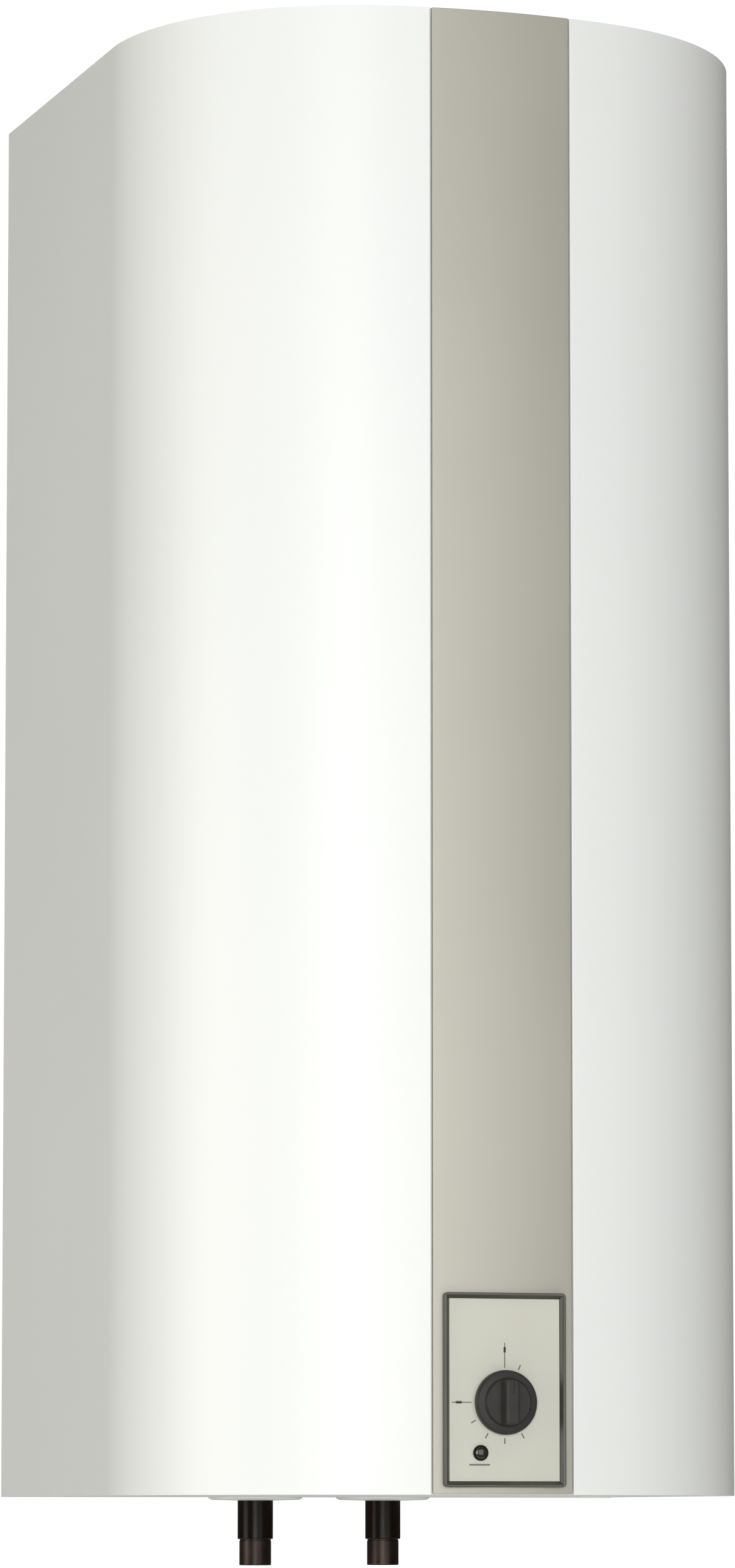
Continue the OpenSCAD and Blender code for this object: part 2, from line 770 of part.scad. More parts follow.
// Welded neck in the tank's lower end, with the ring that takes the heater flange
module heater_neck() {
    color("slategray") difference() {
        at_tank(ring_face) {
            tube(neck_r, neck_bore_d / 2, neck_drop + neck_in);
            tube(flange_d / 2, neck_bore_d / 2, ring_t);
        }
        flange_bolt_places() cylinder(d = bolt_d + 2 * bolt_fit, h = reach / 2);
    }
}

module flange_bolt_places() {
    for (i = [0 : bolt_count - 1])
        at_tank(flange_bottom) rotate(earth_turn + (i + 0.5) * 360 / bolt_count)
            translate([bolt_circle_d / 2, 0, 0]) children();
}

module flange_gasket() {
    color("black") at_tank(flange_top) tube(neck_r, neck_bore_d / 2, gasket_t);
}

module hairpin_places() {
    for (i = [0 : hairpin_count - 1])
        at_tank(flange_bottom) rotate(90 + i * 360 / hairpin_count) children();
}

module heater_flange() {
    color("silver") difference() {
        at_tank(flange_bottom) cylinder(d = flange_d, h = flange_t);
        flange_bolt_places() translate([0, 0, -1]) cylinder(d = bolt_d + 2 * bolt_fit, h = flange_t + 2);
        hairpin_places() for (x = [leg_inner, leg_outer])
            translate([x, 0, -1]) cylinder(d = tube_d + 2 * leg_fit, h = flange_t + 2);
        at_tank(flange_bottom - 1) cylinder(d = well_d + 2 * leg_fit, h = flange_t + 2);
        at_anode() translate([0, 0, -1]) cylinder(d = anode_stud_d + 2 * leg_fit, h = flange_t + 2);
    }
}

module flange_bolts() {
    color("gold") flange_bolt_places() {
        translate([0, 0, -bolt_head_h]) cylinder(d = bolt_head_d, h = bolt_head_h, $fn = 6);
        cylinder(d = bolt_d, h = flange_t + gasket_t + bolt_grip);
    }
}

// Hairpin heating tubes standing in the water, with their terminal pins below the flange
module heating_hairpins() {
    color("darkgray") hairpin_places() {
        for (x = [leg_inner, leg_outer])
            translate([x, 0, -leg_stub]) {
                cylinder(d = tube_d, h = leg_stub + flange_t + element_len);
                translate([0, 0, leg_stub - pin_drop]) cylinder(d = pin_d, h = pin_drop);
            }
        translate([leg_inner + bend_r, 0, flange_t + element_len]) rotate([90, 0, 0])
            rotate_extrude(angle = 180) translate([bend_r, 0]) circle(d = tube_d);
    }
}

module terminal_beads() {
    color("ivory") hairpin_places() for (x = [leg_inner, leg_outer])
        translate([x, 0, -leg_stub - bead_h]) tube(bead_d / 2, pin_d / 2 + leg_fit, bead_h);
}

// Copper straps that join the inner pins and the outer pins of the hairpins
module inner_link() {
    color("peru") difference() {
        at_tank(flange_bottom - pin_drop + link_up)
            tube(leg_inner + link_w / 2, leg_inner - link_w / 2, link_t);
        link_holes();
    }
}

module outer_link() {
    gap_turn = 90 + 1.5 * 360 / hairpin_count;
    gap_side = 1.2 * leg_outer;
    color("peru") difference() {
        at_tank(flange_bottom - pin_drop + link_up)
            tube(leg_outer + link_w / 2, leg_outer - link_w / 2, link_t);
        link_holes();
        at_tank(0) rotate(gap_turn) translate([0, -gap_side / 2, 0]) cube([flange_d, gap_side, reach]);
    }
}

module link_holes() {
    hairpin_places() for (x = [leg_inner, leg_outer])
        translate([x, 0, -pin_drop]) cylinder(d = pin_d + 2 * leg_fit, h = pin_drop);
}

module sensor_well() {
    length = well_stub + flange_t + well_len;
    color("silver") at_tank(flange_bottom - well_stub) difference() {
        cylinder(d = well_d, h = length);
        translate([0, 0, -1]) cylinder(d = well_d - 2 * well_t, h = length - well_t + 1);
    }
}

stat_bulb_d = 6;
cutout_bulb_d = 5;

module thermostat_bulb() {
    color("peru") translate(stat_route[0]) cylinder(d = stat_bulb_d, h = bulb_len);
}

module cutout_bulb() {
    color("peru") translate(cutout_route[0]) cylinder(d = cutout_bulb_d, h = bulb_len);
}

module at_anode() {
    at_tank(flange_bottom) rotate(anode_turn) translate([anode_out, 0, 0]) children();
}

module anode_rod() {
    nut_room = anode_nut_h + 3;
    color("dimgray") at_anode() {
        translate([0, 0, flange_t]) cylinder(d = anode_d, h = anode_len);
        translate([0, 0, -nut_room]) cylinder(d = anode_stud_d, h = nut_room + flange_t);
    }
}

module anode_nut() {
    color("gold") at_anode() translate([0, 0, -anode_nut_h]) difference() {
        cylinder(d = anode_nut_d, h = anode_nut_h, $fn = 6);
        translate([0, 0, -1]) cylinder(d = anode_stud_d + 2 * leg_fit, h = anode_nut_h + 2);
    }
}

module earth_stud() {
    color("gold") at_tank(flange_bottom - earth_drop) rotate(earth_turn) translate([earth_out, 0, 0])
        cylinder(d = earth_d, h = earth_drop);
}

// Bosses welded under the tank, shaped to its dished end
module pipe_bosses() {
    boss_h = 30;
    color("slategray") difference() {
        for (side = [-1, 1])
            at_pipe(side, lower_seam - boss_h) tube(pipe_d / 2 + boss_t, pipe_d / 2 + pipe_fit, boss_h);
        at_tank(lower_seam + dome_r - dome_h) sphere(dome_r + weld_gap);
        at_tank(lower_seam - weld_gap) cylinder(r = tank_r + boss_t, h = boss_h);
    }
}

// Straight pipe whose full diameter is kept at the bare end, for the coupling, and eased above it
module water_pipe(side, top) {
    bore_r = pipe_d / 2 - pipe_ease - pipe_t;
    at_pipe(side, -pipe_drop) {
        tube(pipe_d / 2, bore_r, pipe_bare);
        tube(pipe_d / 2 - pipe_ease, bore_r, top + pipe_drop);
    }
}

cold_top = lower_seam + dome_h / 2;

module cold_inlet_pipe() {
    color("saddlebrown") water_pipe(-1, cold_top);
}

module hot_outlet_pipe() {
    color("saddlebrown") water_pipe(1, upper_seam - hot_below_seam);
}

// Slotted cap that spreads the cold water along the bottom of the tank
module cold_diffuser() {
    overlap = 15;
    slot_h = 22;
    slot_count = 6;
    bore_r = pipe_d / 2 + pipe_fit;
    color("whitesmoke") at_pipe(-1, cold_top - overlap) difference() {
        cylinder(r = bore_r + diffuser_wall, h = diffuser_len);
        translate([0, 0, -1]) cylinder(r = bore_r, h = diffuser_len - diffuser_wall + 1);
        for (i = [0 : slot_count - 1])
            rotate(i * 360 / slot_count) translate([0, -diffuser_wall, overlap + diffuser_wall])
                cube([pipe_d, 2 * diffuser_wall, slot_h]);
    }
}

module pipe_sleeve(side) {
    low = pipe_bare + sleeve_gap - pipe_drop;
    at_pipe(side, low) tube(sleeve_r, pipe_d / 2 + pipe_fit, sleeve_top - low);
}

module cold_sleeve() {
    color("black") pipe_sleeve(-1);
}

module hot_sleeve() {
    color("black") pipe_sleeve(1);
}

// Moulded rosette: a shallow disc with an eased rim, hollow above, held by its collar round the sleeve
module rosette(side) {
    bore = sleeve_r + pipe_fit;
    outer = rosette_d / 2;
    skin = rosette_t / 2;
    ease = 0.8;
    collar_w = 3;
    at_pipe(side, 0) mirror([0, 0, 1]) rotate_extrude() polygon([
        [bore, 0], [bore, rosette_t], [outer - 3 * ease, rosette_t - ease / 2], [outer, rosette_t - 2 * ease],
        [outer, 0], [outer - skin, 0], [outer - 2 * skin, skin - ease / 2], [bore + collar_w, skin],
        [bore + collar_w, 0]]);
}

module cold_rosette() {
    color("whitesmoke") rosette(-1);
}

module hot_rosette() {
    color("whitesmoke") rosette(1);
}

// Wedge on the side of the bezel's collar that snaps behind the jacket's sheet
module snap_hook(side) {
    root = collar_w / 2;
    tip = root + snap_out;
    into = root - collar_t / 2;
    translate([0, 0, -snap_w / 2]) linear_extrude(snap_w) polygon([
        [side * into, snap_y], [side * tip, snap_y], [side * tip, snap_y + snap_len / 4],
        [side * root, snap_y + snap_len], [side * into, snap_y + snap_len]]);
}

// Space in front of the panel face, which widens evenly towards the front
module window_slope() {
    front_y = panel_y - 2 * panel_sunk;
    half_w = window_w / 2;
    half_h = window_h / 2;
    wider = 2 * bezel_slope;
    intersection() {
        translate([0, 0, up(bezel_mid) - bezel_h]) linear_extrude(2 * bezel_h) polygon([
            [-half_w, panel_y], [half_w, panel_y], [half_w + wider, front_y], [-half_w - wider, front_y]]);
        translate([0, 0, up(bezel_mid)]) along_x(2 * bezel_w) polygon([
            [panel_y, -half_h], [panel_y, half_h], [front_y, half_h + wider], [front_y, -half_h - wider]]);
    }
}

// Dark frame round the control panel: its rim follows the bowed strip, its collar goes through the strip
module control_bezel() {
    color("darkslategray") difference() {
        union() {
            difference() {
                facing(0, -casing_d + lip_w, up(bezel_mid)) linear_extrude(bezel_proud + lip_w)
                    rounded(bezel_w, bezel_h, bezel_corner);
                translate([0, arc_y, up(0)]) cylinder(r = front_r + strip_seat, h = 2 * bezel_mid);
            }
            facing(0, ledge_y + collar_d, up(bezel_mid)) linear_extrude(collar_d + panel_t)
                square([collar_w, collar_h], center = true);
            for (side = [-1, 1], level = [-1, 1])
                translate([0, 0, up(bezel_mid + level * collar_h / 4)]) snap_hook(side);
        }
        facing(0, ledge_y, up(bezel_mid)) linear_extrude(bezel_proud + lip_w)
            square([window_w, window_h], center = true);
        window_slope();
        facing(0, ledge_y + 2 * collar_d, up(bezel_mid)) linear_extrude(3 * collar_d)
            square([window_w - 2 * ledge_w, window_h - 2 * ledge_w], center = true);
    }
}

module control_panel() {
    color("lightgray") difference() {
        facing(0, panel_back_y, up(bezel_mid)) linear_extrude(panel_t)
            square([panel_w, panel_h], center = true);
        facing(0, panel_back_y + 1, knob_z) {
            cylinder(d = bush_d + 2 * bush_fit, h = panel_t + 2);
            stat_screw_places() cylinder(d = screw_d + 2 * screw_fit, h = panel_t + 2);
        }
        facing(-lamp_left, panel_back_y + 1, lamp_z)
            cylinder(d = lamp_barrel_d + 2 * screw_fit, h = panel_t + 2);
    }
}

module stat_screw_places() {
    for (side = [-1, 1])
        translate([side * stat_screw_spacing / 2, 0, 0]) children();
}

// Joggled steel plate behind the panel, which carries the safety cut-out above the thermostat
module control_bracket() {
    color("silver") difference() {
        translate([0, 0, knob_z]) along_x(2 * bracket_half) polygon([
            [panel_back_y, -bracket_foot], [panel_back_y, bracket_bend + bracket_t],
            [cutout_y - bracket_t, bracket_bend + bracket_t], [cutout_y - bracket_t, bracket_top],
            [cutout_y, bracket_top], [cutout_y, bracket_bend], [stat_y, bracket_bend],
            [stat_y, -bracket_foot]]);
        facing(0, stat_y + 1, knob_z) {
            cylinder(d = bush_d + 2 * bush_fit, h = bracket_t + 2);
            stat_screw_places() cylinder(d = screw_d + 2 * screw_fit, h = bracket_t + 2);
        }
        facing(0, cutout_y + 1, cutout_z) {
            cylinder(d = reset_d + 4 * reset_fit, h = bracket_t + 2);
            cutout_screw_places() cylinder(d = small_screw_d + 2 * screw_fit, h = bracket_t + 2);
        }
    }
}

module spade_tab(x, y, z) {
    translate([x - tab_w / 2, y, z - tab_t / 2]) cube([tab_w, tab_len, tab_t]);
}

// Capillary thermostat, held behind the panel by two screws under the knob
module thermostat_body() {
    waist = 6;
    color("ivory") difference() {
        union() {
            facing(0, stat_back_y, knob_z) linear_extrude(stat_depth - waist)
                rounded(stat_w - 2 * stat_shoulder, stat_h, housing_corner);
            facing(0, stat_y + waist, knob_z) linear_extrude(waist)
                rounded(stat_w, stat_h - 2 * stat_shoulder, housing_corner);
            facing(0, stat_y, knob_z) cylinder(d = bush_d, h = bracket_t + panel_t - knob_gap);
            for (side = [-1, 1])
                spade_tab(side * stat_tab_x, stat_back_y, knob_z + stat_tab_up);
        }
        facing(0, stat_y + spindle_in + spindle_end_gap, knob_z) cylinder(d = stat_bore_d, h = reach);
        facing(0, stat_y + screw_grip + 1, knob_z) stat_screw_places()
            cylinder(d = screw_d + 2 * screw_fit, h = reach);
    }
}

module thermostat_screws() {
    color("silver") facing(0, panel_y, knob_z) stat_screw_places() {
        cylinder(d = screw_head_d, h = screw_head_h);
        translate([0, 0, -panel_t - bracket_t - screw_grip])
            cylinder(d = screw_d, h = panel_t + bracket_t + screw_grip);
    }
}

// Round spindle with a flat for the knob
module thermostat_spindle() {
    length = stat_y + spindle_in - (knob_y - flat_len);
    color("silver") facing(0, stat_y + spindle_in, knob_z) difference() {
        cylinder(d = spindle_d, h = length);
        translate([-spindle_d, spindle_d / 2 - flat_depth, length - flat_len])
            cube([2 * spindle_d, spindle_d, reach]);
    }
}

// Knob with a wide skirt, a drum and a tapered grip bar with an index groove
module thermostat_knob() {
    skirt_edge = 1.2;
    drum_taper = 1;
    drum_h = 3;
    grip_top = grip_w - 3;
    groove_w = 1.4;
    groove_d = 0.6;
    hub_rest = 0.3;
    color("dimgray") facing(0, knob_y, knob_z) difference() {
        union() {
            rotate_extrude() polygon([
                [0, 0], [knob_d / 2, 0], [knob_d / 2, skirt_h - skirt_edge],
                [knob_d / 2 - skirt_edge, skirt_h], [drum_d / 2, skirt_h],
                [drum_d / 2 - drum_taper, skirt_h + drum_h], [0, skirt_h + drum_h]]);
            intersection() {
                rotate([90, 0, 0]) linear_extrude(drum_d, center = true) polygon([
                    [-grip_w / 2, skirt_h], [grip_w / 2, skirt_h], [grip_top / 2, knob_h],
                    [-grip_top / 2, knob_h]]);
                cylinder(d1 = drum_d, d2 = drum_d - 4 * drum_taper, h = knob_h);
            }
        }
        difference() {
            translate([0, 0, -1]) cylinder(d = knob_d - 2 * knob_wall, h = knob_hollow + 1);
            translate([0, 0, hub_rest]) cylinder(d = hub_d, h = knob_h);
        }
        difference() {
            translate([0, 0, -1]) cylinder(d = spindle_d + 2 * knob_fit, h = flat_len + 1 + knob_fit);
            translate([-spindle_d, spindle_d / 2 - flat_depth + knob_fit, 0])
                cube([2 * spindle_d, spindle_d, reach]);
        }
        translate([-groove_w / 2, drum_d / 5, knob_h - groove_d]) cube([groove_w, drum_d, knob_h]);
    }
}

module cutout_screw_places() {
    for (side = [-1, 1])
        translate([side * small_screw_x, 0, 0]) children();
}

// Manual-reset safety cut-out behind the panel
module safety_cutout() {
    color("ivory") difference() {
        union() {
            facing(0, cutout_back_y, cutout_z) linear_extrude(cutout_depth)
                rounded(cutout_w, cutout_w, housing_corner);
            for (side = [-1, 1])
                spade_tab(side * cutout_tab_x, cutout_back_y, cutout_z - cutout_tab_drop);
        }
        facing(0, cutout_y + reset_depth + reset_travel + 1, cutout_z)
            cylinder(d = reset_d + 2 * reset_fit, h = reach);
        facing(0, cutout_y + screw_grip, cutout_z) cutout_screw_places()
            cylinder(d = small_screw_d + 2 * screw_fit, h = reach);
    }
}

module cutout_screws() {
    color("silver") facing(0, cutout_y - bracket_t, cutout_z) cutout_screw_places() {
        cylinder(d = small_head_d, h = screw_head_h);
        translate([0, 0, 1 - bracket_t - screw_grip])
            cylinder(d = small_screw_d, h = bracket_t + screw_grip - 1);
    }
}

module reset_button() {
    color("red") facing(0, cutout_y + reset_depth, cutout_z)
        cylinder(d = reset_d, h = reset_depth + bracket_t + reset_proud);
}

lens_d = lamp_d - 2;
lens_in = 1;
rim_h = 1.6;

module lamp_body() {
    color("black") facing(-lamp_left, panel_y, lamp_z) difference() {
        union() {
            cylinder(d = lamp_d, h = rim_h);
            translate([0, 0, -panel_t - lamp_len]) cylinder(d = lamp_barrel_d, h = panel_t + lamp_len);
        }
        translate([0, 0, rim_h - lens_in]) cylinder(d = lens_d + 2 * leg_fit, h = reach);
    }
}

module lamp_lens() {
    crown = 1;
    lens_r = (pow(lens_d / 2, 2) + pow(crown, 2)) / (2 * crown);
    color("maroon") facing(-lamp_left, panel_y - rim_h + lens_in, lamp_z) {
        cylinder(d = lens_d, h = lens_in);
        translate([0, 0, lens_in]) intersection() {
            translate([0, 0, crown - lens_r]) sphere(lens_r);
            cylinder(d = lens_d, h = 2 * crown);
        }
    }
}

block_screw_d = 5;
block_screw_h = 6;

module block_places() {
    for (row = [-1, 1], pole = [0 : pole_count - 1])
        translate([block_x + row * block_w / 4, -block_from_wall + (pole - (pole_count - 1) / 2) * pole_pitch,
            up(cover_t + block_h)]) children();
}

// Three-pole terminal block on the bottom cover
module terminal_block() {
    rib_t = 1.5;
    color("ivory") difference() {
        union() {
            translate([block_x - block_w / 2, -block_from_wall - block_len / 2, up(cover_t)])
                cube([block_w, block_len, block_h]);
            for (edge = [-1, 1])
                translate([block_x - block_w / 2, (edge * pole_pitch - rib_t) / 2 - block_from_wall,
                    up(cover_t)])
                    cube([block_w, rib_t, block_h + 2 * rib_t]);
        }
        block_places() translate([0, 0, -block_screw_h])
            cylinder(d = block_screw_d + 2 * screw_fit, h = reach);
    }
}

module terminal_screws() {
    color("silver") block_places() translate([0, 0, -block_screw_h]) difference() {
        cylinder(d = block_screw_d, h = block_screw_h - 1);
        translate([-block_screw_d, -0.5, block_screw_h - 2]) cube([2 * block_screw_d, 1, 2]);
    }
}

// White plastic grommet in the bottom cover, through which the supply cable comes in
module cable_grommet() {
    flange_w = 3;
    lip = 1;
    inner_lip = 3;
    bore = grommet_bore_d / 2;
    neck = grommet_hole_d / 2 - screw_fit;
    rim = grommet_hole_d / 2 + flange_w;
    color("whitesmoke") translate([grommet_x, -grommet_from_wall, up(0)]) rotate_extrude() polygon([
        [bore, -lip], [rim - lip, -lip], [rim, 0], [neck, 0], [neck, cover_t], [rim, cover_t],
        [neck, cover_t + inner_lip], [bore, cover_t + inner_lip]]);
}

// Smooth curve through a list of points
function curve_point(a, b, c, d, t) =
    0.5 * (2 * b + (c - a) * t + (2 * a - 5 * b + 4 * c - d) * t * t + (3 * b - a - 3 * c + d) * t * t * t);
function smooth(points, steps) = [
    for (i = [0 : len(points) - 2], s = [0 : steps - 1])
        curve_point(points[max(i - 1, 0)], points[i], points[i + 1], points[min(i + 2, len(points) - 1)],
            s / steps),
    points[len(points) - 1]];
function unit(v) = v / norm(v);
function directions(path) = [
    for (i = [0 : len(path) - 1]) unit(path[min(i + 1, len(path) - 1)] - path[max(i - 1, 0)])];
function square_to(side, direction) = unit(side - (side * direction) * direction);
function carried_sides(ways, side, i = 0) = i == len(ways) ? [] :
    let (next = square_to(side, ways[i])) concat([next], carried_sides(ways, next, i + 1));

// Tube of diameter d swept along a route, as one closed surface
module swept_tube(route, d) {
    sides = 8;
    steps = 3;
    path = smooth(route, steps);
    ways = directions(path);
    first = abs(ways[0].z) < 0.9 ? [0, 0, 1] : [1, 0, 0];
    across = carried_sides(ways, first);
    last = len(path) - 1;
    rings = [for (i = [0 : last], k = [0 : sides - 1])
        let (turn = k * 360 / sides)
        path[i] + d / 2 * (cos(turn) * across[i] + sin(turn) * cross(ways[i], across[i]))];
    walls = [for (i = [0 : last - 1], k = [0 : sides - 1])
        let (next = (k + 1) % sides, low = i * sides, high = low + sides)
        each [[low + k, high + k, high + next], [low + k, high + next, low + next]]];
    start_cap = [for (k = [1 : sides - 2]) [0, k, k + 1]];
    top = last * sides;
    end_cap = [for (k = [1 : sides - 2]) [top, top + k + 1, top + k]];
    polyhedron(rings, concat(walls, start_cap, end_cap));
}

module thermostat_capillary() {
    color("peru") swept_tube(stat_route, capillary_d);
}

module cutout_capillary() {
    color("peru") swept_tube(cutout_route, capillary_d);
}

module supply_lead() {
    color("brown") swept_tube(supply_route, lead_d);
}

module link_lead() {
    color("black") swept_tube(link_route, lead_d);
}

module heat_lead() {
    color("black") swept_tube(heat_route, lead_d);
}

module neutral_lead() {
    color("royalblue") swept_tube(neutral_route, lead_d);
}

module earth_lead() {
    color("limegreen") swept_tube(earth_route, lead_d);
}

jacket();
top_cover();
top_cover_screws();
foam_plug();
bottom_cover();
bottom_cover_screws();
back_panel();
front_strip();
wall_rail();
hanger_arms();
foam_front();
foam_rear();
tank_shell();
tank_top_dome();
tank_bottom_dome();
heater_neck();
flange_gasket();
heater_flange();
flange_bolts();
heating_hairpins();
terminal_beads();
inner_link();
outer_link();
sensor_well();
thermostat_bulb();
cutout_bulb();
anode_rod();
anode_nut();
earth_stud();
pipe_bosses();
cold_inlet_pipe();
cold_diffuser();
hot_outlet_pipe();
cold_sleeve();
hot_sleeve();
cold_rosette();
hot_rosette();
control_bezel();
control_panel();
control_bracket();
thermostat_body();
thermostat_screws();
thermostat_spindle();
thermostat_knob();
safety_cutout();
cutout_screws();
reset_button();
lamp_body();
lamp_lens();
terminal_block();
terminal_screws();
cable_grommet();
thermostat_capillary();
cutout_capillary();
supply_lead();
link_lead();
heat_lead();
neutral_lead();
earth_lead();
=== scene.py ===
# %% [markdown]
# # A wall-hung electric water heater
#
# The heater was first built as solids, piece by piece. This lesson loads those solids as a fixed frame and models
# again, as fine meshes, the pieces that the eye meets: the bowed white jacket and its grey strip, the control panel
# with its dial knob, the pipe ends, the covers, the back sheet and the rail on the wall. Pieces inside the casing
# keep their solids, and each gets a finish of its own.

# %% Load the solids
import json
import math

import bmesh
import bpy
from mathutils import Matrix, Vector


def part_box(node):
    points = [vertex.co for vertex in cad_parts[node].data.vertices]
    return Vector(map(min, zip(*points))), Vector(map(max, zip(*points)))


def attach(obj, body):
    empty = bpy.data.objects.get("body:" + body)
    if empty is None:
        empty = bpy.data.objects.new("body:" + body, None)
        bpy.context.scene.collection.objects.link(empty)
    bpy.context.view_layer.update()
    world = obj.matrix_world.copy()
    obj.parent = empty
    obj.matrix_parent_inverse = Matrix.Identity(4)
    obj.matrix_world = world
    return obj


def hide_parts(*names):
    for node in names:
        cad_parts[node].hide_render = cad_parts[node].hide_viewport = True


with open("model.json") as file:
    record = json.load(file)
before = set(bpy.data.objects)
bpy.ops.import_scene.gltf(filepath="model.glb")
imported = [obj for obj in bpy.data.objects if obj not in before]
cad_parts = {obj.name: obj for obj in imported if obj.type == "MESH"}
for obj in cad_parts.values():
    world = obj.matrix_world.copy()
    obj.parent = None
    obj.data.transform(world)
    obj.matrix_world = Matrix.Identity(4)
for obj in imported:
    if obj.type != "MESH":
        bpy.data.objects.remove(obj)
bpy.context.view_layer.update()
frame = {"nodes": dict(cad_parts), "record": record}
cad_nodes = frame["nodes"]
MM = 0.001


def span(node):
    """The lowest and highest corner of a solid's box, in millimetres."""
    return [[c / MM for c in corner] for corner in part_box(node)]


print("solids loaded:", len(cad_nodes))

# %% [markdown]
# ## Camera
#
# The photograph was taken level with the casing's lower edge, about 18 degrees to the left of the front. A long lens
# from four metres away keeps the upright edges nearly parallel. The camera is tilted up five degrees, and a small
# lens shift does the rest of the rise: a larger one would push the heater out of the middle in views from other
# sides.

# %% Camera
CAMERA_PLACE = (-1.3055, -4.0992, -0.8763)
CAMERA_TILT, CAMERA_TURN = 95.44, -18.359
LENS, LENS_SHIFT = 139.8, 0.1
bpy.ops.object.select_all(action="DESELECT")
bpy.ops.object.camera_add(
    location=CAMERA_PLACE,
    rotation=(math.radians(CAMERA_TILT), 0, math.radians(CAMERA_TURN)),
)
camera = bpy.context.object
camera.name = "photo_camera"
camera.data.lens = LENS
camera.data.shift_y = LENS_SHIFT
bpy.context.scene.camera = camera
print("camera lens", LENS, "mm, turned", CAMERA_TURN, "degrees")

# %% [markdown]
# ## Light and floor
#
# The photograph has a pure white surround and one broad soft light close to the camera: the jacket is brightest
# where it faces us and falls off evenly to both sides. The world gives an even fill and looks white to the camera,
# and a large area light beside the camera makes the slow gradient over the bow. Weak cards on the right and the left
# lift the two sides, the left one a little warmer, as the flank is in the photograph. One behind lights the back
# sheet, and a ceiling of light keeps the floor, far below the heater, pale.

# %% World
FILL, SURROUND = 0.10, 1.05
FILL_TINT, WHITE = (1.0, 0.955, 0.84, 1), (1, 1, 1, 1)
world = bpy.data.worlds.new("white_studio")
world.use_nodes = True
bpy.context.scene.world = world
sky = world.node_tree
fill = sky.nodes["Background"]
fill.inputs["Color"].default_value = FILL_TINT
fill.inputs["Strength"].default_value = FILL
surround = sky.nodes.new("ShaderNodeBackground")
surround.inputs["Color"].default_value = WHITE
surround.inputs["Strength"].default_value = SURROUND
ray = sky.nodes.new("ShaderNodeLightPath")
choice = sky.nodes.new("ShaderNodeMixShader")
sky.links.new(ray.outputs["Is Camera Ray"], choice.inputs["Fac"])
sky.links.new(fill.outputs["Background"], choice.inputs[1])
sky.links.new(surround.outputs["Background"], choice.inputs[2])
sky.links.new(choice.outputs["Shader"], sky.nodes["World Output"].inputs["Surface"])
bpy.context.scene.view_settings.view_transform = "Standard"
print("fill light", FILL)

# %% Soft lights
COOL, WARM = (0.97, 0.99, 1.0), (1.0, 0.985, 0.93)


def soft_light(name, place, turn, size, watts, tint=COOL):
    """Adds a square area light, with its place and size in metres and its turn in degrees."""
    bpy.ops.object.light_add(type="AREA", location=place, rotation=[math.radians(a) for a in turn])
    light = bpy.context.object
    light.name = name
    light.data.size = size
    light.data.energy = watts
    light.data.color = tint


soft_light("key_by_camera", (-1.60, -5.00, -0.40), (90, 0, -17.7), 2.2, 131)
soft_light("right_card", (1.20, -5.00, -0.40), (90, 0, 13.5), 2.2, 44)
soft_light("left_card", (-4.20, -0.60, -0.45), (90, 0, -84), 2.0, 53, tint=WARM)
soft_light("rear_card", (1.40, 4.20, 0.60), (78, 0, 162), 1.8, 130)
soft_light("ceiling", (0, -1.00, 3.50), (0, 0, 0), 6.0, 100)

# %% Floor
FLOOR_SIZE, FLOOR_Z = 7, -2.4
bpy.ops.mesh.primitive_plane_add(size=FLOOR_SIZE, location=(0, 0, FLOOR_Z))
floor = bpy.context.object
floor.name = "studio_floor"
print("floor", FLOOR_SIZE, "m wide at", FLOOR_Z, "m")

# %% [markdown]
# ## Finishes
#
# Nothing on a real heater is one flat colour. Enamel is clouded very slightly and has a fine ripple, moulded plastic
# has a grain, zinc has patches, copper has tarnish. One helper makes them all: a slow pattern between two close
# colours, a gloss that follows the same pattern, and a fine grain as a bump. The patterns are in object
# coordinates, so they stay where they are on each piece.

# %% Helpers for finishes
BUMP_DEPTH = 0.0004
finishes = {}


def colour(red, green, blue):
    """Turns a colour as seen on a screen, 0 to 255, into linear light."""
    shares = [c / 255 for c in (red, green, blue)]
    return [c / 12.92 if c <= 0.04045 else ((c + 0.055) / 1.055) ** 2.4 for c in shares] + [1]


